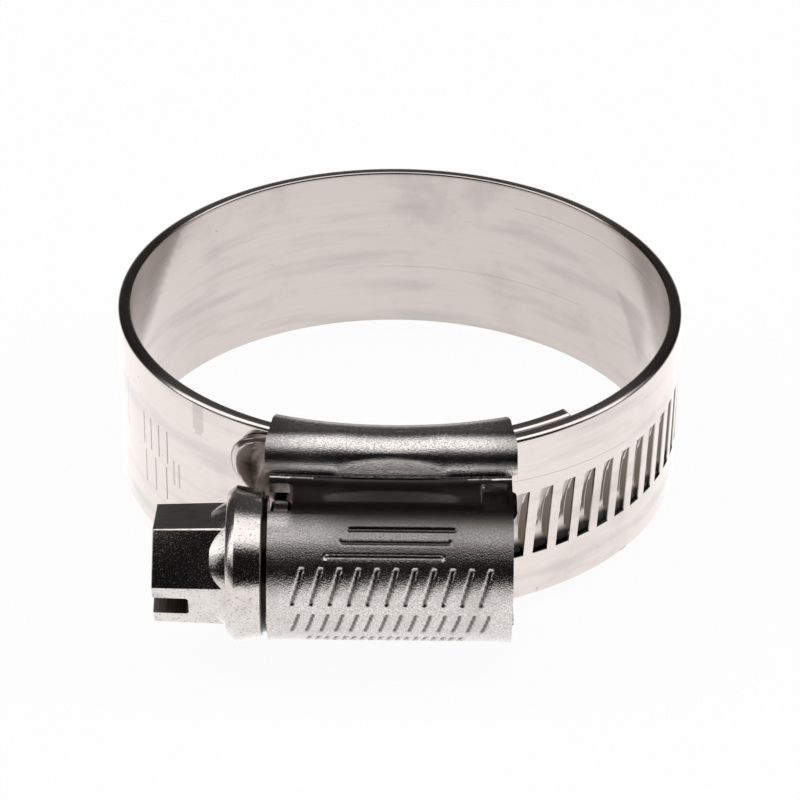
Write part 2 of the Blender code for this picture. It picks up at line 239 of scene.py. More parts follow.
# %% Rows and ends of the strip
EDGE_OUTER = 0.34
EDGE_INNER = 0.16
EDGE_STEPS = 5
SLOT_ROWS = 27
ROWS_BELOW = (-6.1, -6.04, -5.9, -5.5, -5.0, -4.4, -3.8, -3.3, SLOT_BOTTOM - 0.005)
ROWS_ABOVE = (SLOT_TOP + 0.005, 2.5, 3.0, 3.6, 4.2, 4.8, 5.2, 5.5, 5.75, 5.9, 6.0, 6.06, 6.1)
STRIP_SCALE = RING_RADIUS + LAP_PITCH / 2
FREE_END = -11.75
LOBE_LENGTH = 3.4
LOBE_WIDTH = 4.6
LOBE_CENTRE = 3.8
LOBE_FULLNESS = 2.3
LOBE_BLUNTNESS = 2.1
TAIL_REACH = 13.4
TAIL_END = (math.tau + TAIL_REACH / (RING_RADIUS - LAP_PITCH)) * STRIP_SCALE
TAIL_CORNER = 1.2


def strip_rows(radius):
    """Heights of all rows, and how far the rolled edges sink below the face."""
    turn = np.linspace(0.0, math.pi / 2, EDGE_STEPS + 1)
    crown = BAND_WIDTH / 2 - radius + radius * np.sin(turn)
    sunk = radius * (1.0 - np.cos(turn))
    slots = np.linspace(SLOT_BOTTOM + 0.04, SLOT_TOP - 0.03, SLOT_ROWS)
    face = np.concatenate([ROWS_BELOW, slots, ROWS_ABOVE])
    ups = np.concatenate([-crown[::-1], face, crown])
    return ups, np.concatenate([sunk[::-1], np.zeros(len(face)), sunk])


def free_line(ups):
    """Length at which the free end is cut, at each height."""
    aside = np.clip(np.abs(np.abs(ups) - LOBE_CENTRE) / (LOBE_WIDTH / 2), 0.0, 1.0)
    return FREE_END + LOBE_LENGTH * (1.0 - (1.0 - aside ** LOBE_FULLNESS) ** (1 / LOBE_BLUNTNESS))


def tail_line(ups):
    """Length at which the inner end is cut, at each height."""
    return TAIL_END - np.maximum(0.0, np.abs(ups) - (BAND_WIDTH / 2 - TAIL_CORNER))


outer_ups, outer_sunk = strip_rows(EDGE_OUTER)
inner_ups, inner_sunk = strip_rows(EDGE_INNER)
print("rows", len(outer_ups), "from the free end to the inner end", round(TAIL_END - FREE_END, 2))

# %% [markdown]
# An even grid would cut across the slots and leave saw teeth on their edges. So
# the columns are drawn like a dressmaker's lines: they fan out from the lobes,
# follow each slot's ramp, valley and wall, and run evenly over the plain steel.

# %% Columns of the strip
FAN_LENGTH = 4.4
FAN_SHARES = (0.0, 0.02, 0.05, 0.09, 0.135, 0.16, 0.2, 0.25, 0.32, 0.4, 0.5, 0.58, 0.66, 0.8, 1.0)
RAMP_SHARES = (-0.04, 0.0, 0.25, 0.5, 0.75, 0.93)
WALL_SHARES = (0.0, 0.08, 0.45, 0.85, 1.0)
LAND_SHARES = (0.06, 0.5)
PLAIN_COLUMNS = 210
TAIL_LENGTH = 2.0
TAIL_SHARES = (0.4, 0.7, 0.9, 1.0)


def between(start, end, shares):
    """Columns at shares of the way between two lines."""
    return [start + (end - start) * share for share in shares]


def strip_columns(ups):
    """Length along the strip of every column, row by row."""
    valley = valley_share(ups)
    columns = between(free_line(ups), FREE_END + FAN_LENGTH, FAN_SHARES)
    for index in range(FIRST_SLOT, LAST_SLOT + 1):
        left = slot_left(index, ups)
        deepest = left + SLOT_WIDTH * valley
        columns += between(left, deepest, RAMP_SHARES)
        columns += between(deepest, left + SLOT_WIDTH, WALL_SHARES)
        columns += between(left + SLOT_WIDTH, left + SLOT_PITCH, LAND_SHARES)
    plain_start = SLOT_START + (LAST_SLOT + 1) * SLOT_PITCH
    plain_end = TAIL_END - TAIL_LENGTH
    for length in np.linspace(plain_start, plain_end, PLAIN_COLUMNS):
        columns.append(np.full_like(ups, length))
    columns += between(plain_end, tail_line(ups), TAIL_SHARES)
    return np.stack(columns, axis=1)


lengths = strip_columns(outer_ups)
print("strip grid", lengths.shape)

# %% [markdown]
# In a slot only the ramp catches the light. The steep wall lies in brown shade, and
# the foot in black. The studio below is simpler than a real room, so it can't draw
# all of this, and the shade is painted: one number for each point says how dark the
# steel is there, and the material reads it. A thin bright line along the valley is a
# painted highlight.

# %% Shades of the slots
# Levels of painted shade; along the valley's line almost none, a painted highlight.
RAMP_SHADE = 0.20
RAMP_UPPER_SHADE = 0.30
WALL_SHADE = 0.86
WALL_LOW_SHADE = 0.05
VALLEY_LINE = 0.03
VALLEY_SHADE = 0.03
SLOT_UPWARDS = (-1.6, 1.6)
DARK_FOOT = (-1.2, -2.15)


def painted_slot_shade(across, up, valley):
    """Painted shade of a slot: grey on the ramp, brown on its wall, black at its foot."""
    upper = ease(up, *SLOT_UPWARDS)
    ramp = (RAMP_SHADE + RAMP_UPPER_SHADE * upper) * ease(across, -0.28 * valley, 0.52 * valley)
    wall = WALL_SHADE + WALL_LOW_SHADE * (1.0 - upper)
    painted_darkness = np.where(across > valley + VALLEY_LINE, wall, ramp)
    painted_darkness = np.where(np.abs(across - valley) <= VALLEY_LINE, VALLEY_SHADE, painted_darkness)
    return np.maximum(painted_darkness, ease(up, *DARK_FOOT))


print("shade of the ramp at mid slot", round(float(painted_slot_shade(0.3, 0.0, valley_share(0.0))), 3))

# %% [markdown]
# The free end is ground to a bevel along its lobes. The bevel stays bright inside
# a thin painted dark outline, and the face behind it gets painted shade, as it lies
# in the housing's shade. Then the whole strip is pressed: its depth and its painted
# shade at every point are the largest that any slot or the free end gives.

# %% The free end, and the pressed strip
BEVEL_LENGTH = 0.6
BEVEL_DEPTH = 0.34
BEVEL_SHADE = 0.16
OUTLINE_WIDTH = 0.25
OUTLINE_SHADE = 0.45
FACE_SHADE = 0.89
FACE_DEEPER_SHADE = 0.08
FACE_DEEPENS = (0.9, 2.3)
FACE_ENDS = (FREE_END + 2.45, FREE_END + 2.15)


def painted_end_shade(lengths, from_end):
    """Painted shade of the free end: a thin outline, the bevel, and the face behind it."""
    face = ease(from_end, BEVEL_LENGTH, BEVEL_LENGTH + 0.1) * ease(lengths, *FACE_ENDS)
    face = face * (FACE_SHADE + FACE_DEEPER_SHADE * ease(from_end, *FACE_DEEPENS))
    outline = OUTLINE_SHADE * ease(from_end, OUTLINE_WIDTH, 0.0)
    return np.maximum(face, outline + BEVEL_SHADE * (from_end < BEVEL_LENGTH))


def press_strip(lengths, ups):
    """Depth and painted shade of the outer face."""
    from_end = lengths - free_line(ups)[:, None]
    depth = BEVEL_DEPTH * ease(from_end, BEVEL_LENGTH, 0.0)
    painted_darkness = painted_end_shade(lengths, from_end)
    high = np.broadcast_to(ups[:, None], lengths.shape)
    valley = valley_share(ups)[:, None]
    for index in range(FIRST_SLOT, LAST_SLOT + 1):
        across = np.round((lengths - slot_left(index, ups)[:, None]) / SLOT_WIDTH, 4)
        here = slot_depth(across, high)
        depth = np.maximum(depth, here)
        painted_darkness = np.maximum(painted_darkness, (here > 0.0) * painted_slot_shade(across, high, valley))
    return depth, painted_darkness


pressed, press_painted_shade = press_strip(lengths, outer_ups)
print("deepest", round(float(pressed.max()), 3))

# %% [markdown]
# The rolled edges get a painted dark reflection where they run along the ring's left
# and right. Inside, the ring mirrors its room, painted here as reflection and shade: a
# ground that darkens and clears again along the steel, a dark wedge at the left and a
# patch at the right, each with one slanted edge, all with soft edges.

# %% Shades of the edges and of the inside
EDGE_SHADE = 0.77
SIDE_OF_RING = (0.72, 0.92)
INSIDE_SHADE = 0.26
INSIDE_WAVE = 0.05
INSIDE_WAVE_LENGTH = 17.0
PATCH_SHADE = 0.46
WEDGE_CORNER = (83.8, 6.4)
WEDGE_SLANT = 0.97
WEDGE_EDGE = 1.0
WEDGE_ALONG = (101.0, 94.0)
WEDGE_UPWARDS = (-1.5, 2.0)
PATCH_CORNER = (45.0, 2.0)
PATCH_SLANT = 0.9
PATCH_EDGE = 1.4
PATCH_ALONG = (36.0, 40.0)
PATCH_TOP = (2.3, 1.3)
PATCH_FOOT = (-4.6, -1.6)


def painted_side_shade(lengths, ups, radius):
    """Painted dark reflection of the rolled edge round the ring."""
    side = ease(np.abs(np.sin(lengths / STRIP_SCALE)), *SIDE_OF_RING)
    half = BAND_WIDTH / 2
    return EDGE_SHADE * side * ease(np.abs(ups), half - 0.8 * radius, half - 0.3 * radius)[:, None]


def inner_shades(lengths, ups):
    """Painted reflection and shade of the inner face."""
    ground = INSIDE_SHADE + INSIDE_WAVE * np.sin(lengths / INSIDE_WAVE_LENGTH)
    slanted = WEDGE_CORNER[0] + (WEDGE_CORNER[1] - ups) * WEDGE_SLANT
    wedge = ease(lengths, slanted, slanted + WEDGE_EDGE)
    wedge = wedge * ease(lengths, *WEDGE_ALONG) * ease(ups, *WEDGE_UPWARDS)
    slanted = PATCH_CORNER[0] - (PATCH_CORNER[1] - ups) * PATCH_SLANT
    patch = ease(lengths, slanted, slanted - PATCH_EDGE) * ease(lengths, *PATCH_ALONG)
    patch = patch * ease(ups, *PATCH_TOP) * ease(ups, *PATCH_FOOT)
    return np.maximum(ground, PATCH_SHADE * np.maximum(wedge, patch))


outside_painted_shade = np.maximum(press_painted_shade, painted_side_shade(lengths, outer_ups, EDGE_OUTER))
inside_painted_shade = np.maximum(inner_shades(lengths, inner_ups[:, None]),
                        painted_side_shade(lengths, inner_ups, EDGE_INNER))
print("mean shade outside and inside", round(float(outside_painted_shade.mean()), 3),
      round(float(inside_painted_shade.mean()), 3))

# %% [markdown]
# The strip is rolled into the ring: a spiral that winds in by one layer a turn,
# so its inner end comes to lie under its slotted outer end. Each face of the strip
# is one blank. A UV map keeps its flat coordinates in millimetres, so streaks and
# ticks can follow the steel round. The inside is mapped 40 mm higher, which keeps
# marks on one face off the other.

# %% Roll the strip up
INSIDE_SHIFT = 40.0
SKIN = 0.012


def roll(lengths, depths, ups):
    """Places on the spiral of the ring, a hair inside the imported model's surface."""
    turn = lengths / STRIP_SCALE
    radius = RING_RADIUS - SKIN + LAP_PITCH * (0.5 - turn / math.tau) - depths
    return place(radius * np.sin(turn), radius * np.cos(turn), ups)


def map_sheet(item, row, column, lengths, ups):
    """UV map that runs along a sheet, one unit for each millimetre."""
    layer = item.data.uv_layers.active or item.data.uv_layers.new(name="strip")
    layer.name = "strip"
    corner = np.empty(len(item.data.loops), dtype=np.int32)
    item.data.loops.foreach_get("vertex_index", corner)
    spots = np.stack([lengths[row, column], ups[row, column]], axis=1)[corner]
    layer.data.foreach_set("uv", spots.astype(np.float32).ravel())


def paint(item, name, values):
    """Store one number for each point of a piece, for its material to read."""
    layer = item.data.attributes.new(name, "FLOAT", "POINT")
    layer.data.foreach_set("value", np.asarray(values, dtype=np.float32).ravel())


def strip_face(name, ups, depths, painted_darkness, shift):
    """One face of the strip, rolled up, mapped, and given its painted shade."""
    high = np.broadcast_to(ups[:, None], lengths.shape)
    face, row, column = blank(name, roll(lengths, depths, high))
    map_sheet(face, row, column, lengths, high + shift)
    # Painted shade, one number for each point.
    paint(face, "painted_darkness", painted_darkness[row, column])
    return face


band = strip_face("clamp_band", outer_ups, pressed + outer_sunk[:, None], outside_painted_shade, 0.0)
inside = strip_face("band_inside", inner_ups, BAND_THICKNESS - inner_sunk[:, None],
                    inside_painted_shade, INSIDE_SHIFT)
print("faces", len(band.data.polygons), "outside and", len(inside.data.polygons), "inside")

# %% [markdown]
# The two faces lie back to back. The inner one is turned round, so it faces the
# hose, and a bridge of faces joins their borders into one closed strip. Solidify
# would have given both sides the same slots and the same edges.


# %% Close the strip
def shade(item, degrees):
    """Smooth shading, with edges sharper than the angle kept."""
    activate(item)
    bpy.ops.object.shade_smooth_by_angle(angle=math.radians(degrees))


edit(inside)
bpy.ops.mesh.flip_normals()
activate(band, inside)
bpy.ops.object.join()
select_borders(band)
bpy.ops.mesh.bridge_edge_loops()
shade(band, 28.0)
print("band", len(band.data.polygons), "faces")

# %% [markdown]
# ## The housing
#
# One sheet is wrapped round everything: from its seam inside the ring, over the
# strip's edge in a roll, into a tight neck, and round the screw in a barrel. The
# middle line of the sheet is made of those parts in order, with the direction that
# faces out at each point, so the sheet's outer face is half a thickness off it.

# %% Parts of the sheet's line
BARREL_ROWS = 84
SHOULDER_ROWS = 12
FILLET_ROWS = 8
WALL_ROWS = 7
BEND_ROWS = 13
CROWN_ROWS = 3
INSIDE_ROWS = 8
SHOULDER = BARREL_RADIUS - SHEET / 2
BAND_CLEARANCE = 0.2
LAP_REACH = 11.6
ROLL_FLATTENING = 0.33
ROLL_BACK_SHARE = 0.74


def roll_sides(along):
    """Mid-sheet distances of the roll's inner and outer side from the ring's axis."""
    winding = LAP_PITCH * (LAP_REACH / RING_RADIUS) / math.tau
    room = winding + BAND_CLEARANCE + SHEET / 2
    inner = RING_RADIUS - LAP_PITCH / 2 - BAND_THICKNESS - room
    outer = RING_RADIUS + LAP_PITCH / 2 + room
    back = inner - math.sqrt(inner ** 2 - along ** 2)
    bow = (along / HOUSING_HALF) ** 2
    return inner - ROLL_BACK_SHARE * back, outer - ROLL_FLATTENING * bow


def bend(line, middle, radius, start, end, rows):
    """Add a convex arc to the sheet's line, with its outward directions."""
    for turn in np.linspace(start, end, rows, endpoint=False):
        side, rise = math.cos(turn), math.sin(turn)
        line.append((middle[0] + radius * side, middle[1] + radius * rise, side, rise))


def straight(line, start, end, outward, rows, whole=False):
    """Add a straight run, which holds its last point only if it is whole."""
    for share in np.linspace(0.0, 1.0, rows, endpoint=whole):
        line.append((start[0] + (end[0] - start[0]) * share,
                     start[1] + (end[1] - start[1]) * share, *outward))


print("roll between", [round(side, 2) for side in roll_sides(0.0)], "mm from the ring's axis")

# %% [markdown]
# The roll bends tightly at its back and more gently towards the neck. In the
# middle, the foot of its front is pressed to a low leaning facet, which fades out
# towards both sides. The line is worked out anew at each place along the screw,
# because the roll's back follows the ring and the facet changes.

# %% The sheet's line
ROLL_TOP = 7.15
ROLL_END_DROP = 0.1
ROLL_BACK_BEND = 1.15
ROLL_SHOULDER_BEND = 1.75
NECK_FILLET = 0.65
NECK_WALL = 0.06
FACET_LEAN = math.radians(9.0)
FACET_HALF = 3.75
FACET_HEIGHT = 0.95
FACET_FADE = 0.15
SEAM_HALF = 0.2
EIGHTH, QUARTER = math.pi / 4, math.pi / 2


def roll_line(line, along, inner, foot, lean):
    """Add the roll, from the top of the neck's wall to the seam inside the ring."""
    top = ROLL_TOP - ROLL_END_DROP * (along / HOUSING_HALF) ** 2
    upper = top - ROLL_SHOULDER_BEND * (1.0 - math.sin(EIGHTH))
    radius = (upper - foot[1]) / (math.sin(EIGHTH) - math.sin(lean))
    middle = (foot[0] - radius * math.cos(lean), foot[1] - radius * math.sin(lean))
    bend(line, middle, radius, lean, EIGHTH, BEND_ROWS)
    crown = middle[0] + (radius - ROLL_SHOULDER_BEND) * math.cos(EIGHTH)
    bend(line, (crown, top - ROLL_SHOULDER_BEND), ROLL_SHOULDER_BEND, EIGHTH, QUARTER, BEND_ROWS)
    back = (inner + ROLL_BACK_BEND, top - ROLL_BACK_BEND)
    straight(line, (crown, top), (back[0], top), (0.0, 1.0), CROWN_ROWS)
    bend(line, back, ROLL_BACK_BEND, QUARTER, math.pi, BEND_ROWS)
    straight(line, (inner, back[1]), (inner, SEAM_HALF), (-1.0, 0.0), INSIDE_ROWS, whole=True)


def half_line(along):
    """Out, up and outward direction of the sheet's upper half, from the front."""
    inner, outer = roll_sides(along)
    fillet_out, fillet_up = outer + NECK_FILLET, SHOULDER + NECK_FILLET
    line = []
    bend(line, (AXIS_OUT, 0.0), SHOULDER, 0.0, QUARTER, BARREL_ROWS)
    straight(line, (AXIS_OUT, SHOULDER), (fillet_out, SHOULDER), (0.0, 1.0), SHOULDER_ROWS)
    for turn in np.linspace(0.0, QUARTER, FILLET_ROWS, endpoint=False):
        side, rise = math.sin(turn), math.cos(turn)
        line.append((fillet_out - NECK_FILLET * side, fillet_up - NECK_FILLET * rise, side, rise))
    facet = FACET_HEIGHT * max(0.0, 1.0 - (along / FACET_HALF) ** 2)
    lean = FACET_LEAN * min(1.0, facet / FACET_FADE)
    wall = NECK_WALL + facet
    foot = (outer - wall * math.tan(lean), fillet_up + wall)
    straight(line, (outer, fillet_up), foot, (math.cos(lean), math.sin(lean)), WALL_ROWS)
    roll_line(line, along, inner, foot, lean)
    return np.array(line)


print("half line has", len(half_line(0.0)), "points")

# %% [markdown]
# The line is swept along the screw. The sheet is longest at the roll and shortest
# at its seam, so the blank is stretched row by row. Only the upper half is worked
# out, and the lower half mirrors it.

# %% Sweep the line
COLUMN_STEP = 0.105
INNER_HALF = 7.4
ROLL_OVERHANG = 0.35


def end_stretch(out):
    """Half length of the sheet at each row: longer at the roll, shorter inside."""
    inner, outer = roll_sides(0.0)
    share = np.clip((out - inner) / (outer - inner), 0.0, 1.0)
    longest = HOUSING_HALF + ROLL_OVERHANG
    inside = INNER_HALF + (longest - INNER_HALF) * np.sin(share * QUARTER)
    front = np.arange(len(out)) < BARREL_ROWS + SHOULDER_ROWS + FILLET_ROWS
    return np.where(front, HOUSING_HALF, inside)


def sweep():
    """Along, out, up and outward direction over the whole sheet's middle."""
    shares = np.linspace(-1.0, 1.0, int(2 * HOUSING_HALF / COLUMN_STEP))
    lines = np.stack([half_line(share * HOUSING_HALF) for share in shares], axis=1)
    upper = [shares * end_stretch(half_line(0.0)[:, 0])[:, None], *np.moveaxis(lines, 2, 0)]
    lower = [field[:0:-1] * sign for field, sign in zip(upper, (1, 1, -1, 1, -1))]
    return [np.concatenate(pair) for pair in zip(lower, upper)]


xs, outs, ups, n_out, n_up = sweep()
angle = np.arctan2(ups, np.maximum(outs - AXIS_OUT, 0.0))
on_barrel = outs > AXIS_OUT
print("sheet grid", xs.shape, "roll", round(2 * float(xs.max()), 2), "mm long")

# %% [markdown]
# The barrel of the real housing carries pressed marks. Here they are plain slanted
# ribs in the same rows, pressed in by about a tenth of a millimetre. Each stroke
# is a line, and the sheet sinks by its distance from the nearest one.

# %% Pressed strokes on the barrel
STROKE_SLANT = 0.26
STROKE_WIDTH = 0.16
STROKE_DEPTH = 0.13
LONG_RIBS = ((5.35, -2.6, 4.1), (4.45, -3.1, 3.8), (3.45, -4.1, 3.3))
STROKE_ROWS = ((11, -6.0, 1.22, 0.3, 2.6), (14, -6.1, 0.95, -2.35, -0.7),
               (18, -5.2, 0.58, -3.9, -3.25))


def pressed_strokes():
    """Ends of the marks, in millimetres along the barrel and up round it."""
    lines = [(left, height, right, height) for height, left, right in LONG_RIBS]
    for count, first, step, low, high in STROKE_ROWS:
        aside = STROKE_SLANT * (high - low) / 2
        for index in range(count):
            x = first + index * step
            lines.append((x - aside, low, x + aside, high))
    return lines


def nearest_stroke(along, arc):
    """Distance from every point to the nearest stroke."""
    nearest = np.full(along.shape, 10.0)
    for x0, y0, x1, y1 in pressed_strokes():
        dx, dy = x1 - x0, y1 - y0
        share = ((along - x0) * dx + (arc - y0) * dy) / (dx * dx + dy * dy)
        share = np.clip(share, 0.0, 1.0)
        nearest = np.minimum(nearest, np.hypot(along - x0 - share * dx, arc - y0 - share * dy))
    return nearest


nearest = nearest_stroke(xs, angle * BARREL_RADIUS)
marks = STROKE_DEPTH * ease(nearest, 1.35 * STROKE_WIDTH, 0.35 * STROKE_WIDTH) * on_barrel
# The strokes' cores are darkened as painted shade.
stroke_core_shade = ease(nearest, 0.15, 0.07) * on_barrel
print("strokes", len(pressed_strokes()))

# %% [markdown]
# At the far end of the neck a block-shaped dimple above and below keeps the screw
# in its place. It is pressed in like the strokes.

# %% Dimples, and the outer face
DIMPLE_X = HOUSING_HALF - 1.12
DIMPLE_HALF_X = 0.82
DIMPLE_OUT = AXIS_OUT - 0.75
DIMPLE_HALF_OUT = 1.35
DIMPLE_DEPTH = 0.38
NECK_BACK = 21.7


def dimple_depth():
    """How far the two dimples sink the sheet."""
    aside = np.maximum(np.abs(xs - DIMPLE_X) / DIMPLE_HALF_X,
                       np.abs(outs - DIMPLE_OUT) / DIMPLE_HALF_OUT)
    flat = (np.abs(ups) > SHOULDER * 0.8) & (outs > NECK_BACK)
    return DIMPLE_DEPTH * ease(aside, 1.12, 0.82) * flat


offset = SHEET / 2 - marks - dimple_depth()
points = place(xs + HOUSING_MIDDLE, outs + n_out * offset, ups + n_up * offset)
steps = np.hypot(np.diff(outs, axis=0, prepend=outs[:1]), np.diff(ups, axis=0, prepend=ups[:1]))
arc = np.cumsum(steps, axis=0)
arc = arc - arc[len(arc) // 2]
print("sheet is", round(float(np.ptp(arc[:, len(xs[0]) // 2])), 1), "mm round its profile")

# %% [markdown]
# Near the head, a window in the neck shows the screw's journal. On the real sheet
# it is punched before the sheet is bent, and so it is here: cells of the flat grid
# are removed, and the points round the hole move onto its rounded outline. A
# Boolean on the finished sheet would leave open edges where it meets so many small faces.

# %% Punch the windows
WINDOW_X = -8.0
WINDOW_HALF_X = 1.6
WINDOW_ARC = 7.775
WINDOW_HALF_ARC = 1.525
WINDOW_CORNER = 0.45
TINY = 1e-9


def window_distance(xs, arc):
    """Distance outside the window's outline in the flat sheet, and its direction."""
    past_x = np.abs(xs - WINDOW_X) - WINDOW_HALF_X + WINDOW_CORNER
    past_arc = np.abs(arc - WINDOW_ARC) - WINDOW_HALF_ARC + WINDOW_CORNER
    corner = np.hypot(np.maximum(past_x, 0.0), np.maximum(past_arc, 0.0))
    distance = corner + np.minimum(np.maximum(past_x, past_arc), 0.0) - WINDOW_CORNER
    both = (past_x > 0.0) & (past_arc > 0.0)
    part_x = np.where(both, past_x / np.maximum(corner, TINY), past_x >= past_arc)
    part_arc = np.where(both, past_arc / np.maximum(corner, TINY), past_x < past_arc)
    return distance, part_x * np.sign(xs - WINDOW_X), part_arc * np.sign(arc - WINDOW_ARC)


def window_border(gone):
    """Points that touch both a removed cell and a kept one."""
    near_gone = np.zeros((gone.shape[0] + 1, gone.shape[1] + 1), dtype=int)
    near_kept = near_gone.copy()
    for rows in (slice(0, -1), slice(1, None)):
        for columns in (slice(0, -1), slice(1, None)):
            near_gone[rows, columns] += gone
            near_kept[rows, columns] += ~gone
    return (near_gone > 0) & (near_kept > 0)


def open_windows(points, xs, arc):
    """Grid cells inside the windows; the points round them move onto the outline."""
    distance, part_x, part_arc = window_distance(xs, np.abs(arc))
    part_arc = part_arc * np.sign(arc)
    gone = (distance[:-1, :-1] + distance[1:, :-1] + distance[:-1, 1:] + distance[1:, 1:]) < 0.0
    per_arc = np.gradient(points, axis=0) / np.gradient(arc, axis=0)[..., None]
    per_x = np.gradient(points, axis=1) / np.gradient(xs, axis=1)[..., None]
    move = -(per_arc * (distance * part_arc)[..., None] + per_x * (distance * part_x)[..., None])
    return points + move * window_border(gone)[..., None], gone


points, punched = open_windows(points, xs, arc)
print("cells punched out", int(punched.sum()))

# %% [markdown]
# The real housing is bright on its barrel's front and dark on the barrel's upper
# part, a little less near the head, where a small glint lies. This is painted shade,
# with the glint a painted highlight, kept as a second number for the same reason as
# the slots' shade. Ranges on the barrel are in degrees from its front.

# %% Shades of the barrel
UPPER_BARREL = (36.0, 46.0)
UPPER_GLOOM = 0.66
TOP_BARREL = (52.0, 76.0)
TOP_GLOOM = 0.32
HEAD_SIDE = (-2.0, -6.0)
HEAD_SIDE_LIGHT = 0.16
HEAD_SIDE_TOP = 75.0
# The glint is a painted highlight.
GLINT_ALONG = (-6.1, -7.1)
GLINT_FOOT = (60.0, 67.0)
GLINT_TOP = (79.0, 74.0)
GLINT_LIGHT = 0.6


def painted_barrel_gloom(xs, degrees):
    """Painted shade of the barrel: more towards its top, less near the head and at the painted
    glint.
    """
    gloom = UPPER_GLOOM * ease(degrees, *UPPER_BARREL) + TOP_GLOOM * ease(degrees, *TOP_BARREL)
    gloom = gloom - HEAD_SIDE_LIGHT * ease(xs, *HEAD_SIDE) * (degrees < HEAD_SIDE_TOP)
    glint = ease(xs, *GLINT_ALONG) * ease(degrees, *GLINT_FOOT) * ease(degrees, *GLINT_TOP)
    return gloom * (1.0 - GLINT_LIGHT * glint)


painted_gloom = painted_barrel_gloom(xs, np.degrees(angle)) * on_barrel
print("dullest on the barrel", round(float(painted_gloom.max()), 2))

# %% [markdown]
# The neck is painted nearly black, as the roll's shade: only a thin crescent and the
# dimple's rim are left lighter, as painted light. The roll is painted darker towards
# its ends, and its pressed facet a little darker than the steel round it.

# %% Shades of the neck and of the roll
# Painted shade of the neck and roll, with a painted crescent of light and a painted highlight on
# the dimple's rim.
NECK_FROM_AXIS = 21.2
NECK_TOP = 5.6
ROLL_FRONT = 21.9
CRESCENT_OUT = 22.7
CRESCENT_BOW = 0.6
CRESCENT_HALF = 4.4
CRESCENT_EDGE = 0.15
CRESCENT_ENDS = (4.6, 4.1)
CRESCENT_LIGHT = 0.26
DIMPLE_RIM_X = HOUSING_HALF - 1.95
DIMPLE_RIM_WIDTH = 0.16
DIMPLE_RIM_BACK = 22.0
DIMPLE_RIM_LIGHT = 0.95
ROLL_ENDS = (5.2, 8.4)
ROLL_END_GLOOM = 0.5
FACET_EDGE = 0.4
FACET_TOP = 6.4
FACET_GLOOM = 0.25


def painted_neck_gloom(xs, outs):
    """Painted shade of the neck: black, but for a painted crescent of light and the dimple's bright
    rim.
    """
    front = CRESCENT_OUT + CRESCENT_BOW * (xs / CRESCENT_HALF) ** 2
    crescent = ease(outs, front, front + CRESCENT_EDGE) * ease(np.abs(xs), *CRESCENT_ENDS)
    rim = ease(np.abs(xs - DIMPLE_RIM_X), DIMPLE_RIM_WIDTH, 0.0) * (outs > DIMPLE_RIM_BACK)
    return (1.0 - CRESCENT_LIGHT * crescent) * (1.0 - DIMPLE_RIM_LIGHT * rim)


def painted_roll_gloom(xs, heights):
    """Painted shade of the roll: towards its two ends, and on its pressed facet."""
    ends = ROLL_END_GLOOM * ease(np.abs(xs), *ROLL_ENDS)
    facet = ease(np.abs(xs), FACET_HALF, FACET_HALF - FACET_EDGE) * (heights < FACET_TOP)
    return np.maximum(ends, FACET_GLOOM * facet)


heights = np.abs(ups)
in_neck = ~on_barrel & (outs > NECK_FROM_AXIS) & (heights < NECK_TOP)
on_roll = (outs < ROLL_FRONT) & (heights >= NECK_TOP)
painted_gloom = np.where(on_roll, painted_roll_gloom(xs, heights), painted_gloom)
painted_gloom = np.where(in_neck, painted_neck_gloom(xs, outs), painted_gloom)
print("dullest", round(float(painted_gloom.max()), 2), "mean", round(float(painted_gloom.mean()), 2))

# %% [markdown]
# The blank is wrapped, punched, and given the sheet's thickness by Solidify, which
# grows it inwards from the outer face. Solidify puts the sheared edges' faces after
# the two sides', so the number of faces of one side is kept for the finish.


# %% Wrap the sheet
def apply_all(item):
    """Apply a piece's modifiers in their order."""
    activate(item)
    for step in list(item.modifiers):
        bpy.ops.object.modifier_apply(modifier=step.name)


def remove_cells(item, row, column, gone):
    """Delete the faces of a blank that lie in the marked cells of its grid."""
    corner = np.empty(len(item.data.loops), dtype=np.int32)
    item.data.loops.foreach_get("vertex_index", corner)
    corner = corner.reshape(-1, 4)
    edit(item)
    bpy.ops.mesh.select_mode(type="FACE")
    bpy.ops.mesh.select_all(action="DESELECT")
    bpy.ops.object.mode_set(mode="OBJECT")
    chosen = gone[row[corner].min(axis=1), column[corner].min(axis=1)]
    item.data.polygons.foreach_set("select", chosen)
    bpy.ops.object.mode_set(mode="EDIT")
    bpy.ops.mesh.delete(type="FACE")
    bpy.ops.object.mode_set(mode="OBJECT")


housing, row, column = blank("clamp_housing", points)
map_sheet(housing, row, column, xs, arc)
# The strokes' cores carry painted shade, and the sheet its painted light and shade.
paint(housing, "painted_darkness", stroke_core_shade[row, column])
paint(housing, "painted_gloom", painted_gloom[row, column])
remove_cells(housing, row, column, punched)
sheet_faces = len(housing.data.polygons)
wall = housing.modifiers.new("sheet", "SOLIDIFY")
wall.thickness = SHEET * MM
wall.offset = -1.0
wall.use_even_offset = False
apply_all(housing)
shade(housing, 35.0)
print("housing", len(housing.data.polygons), "faces")

# %% [markdown]
# ## The worm screw
#
# The screw is turned and cold-headed in one piece: a hexagon head, a cone where
# the hexagon runs into its collar, the collar, a journal in the housing's end, and
# the worm. The round body is one circle, extruded and resized along the axis, as a
# lathe would leave it.

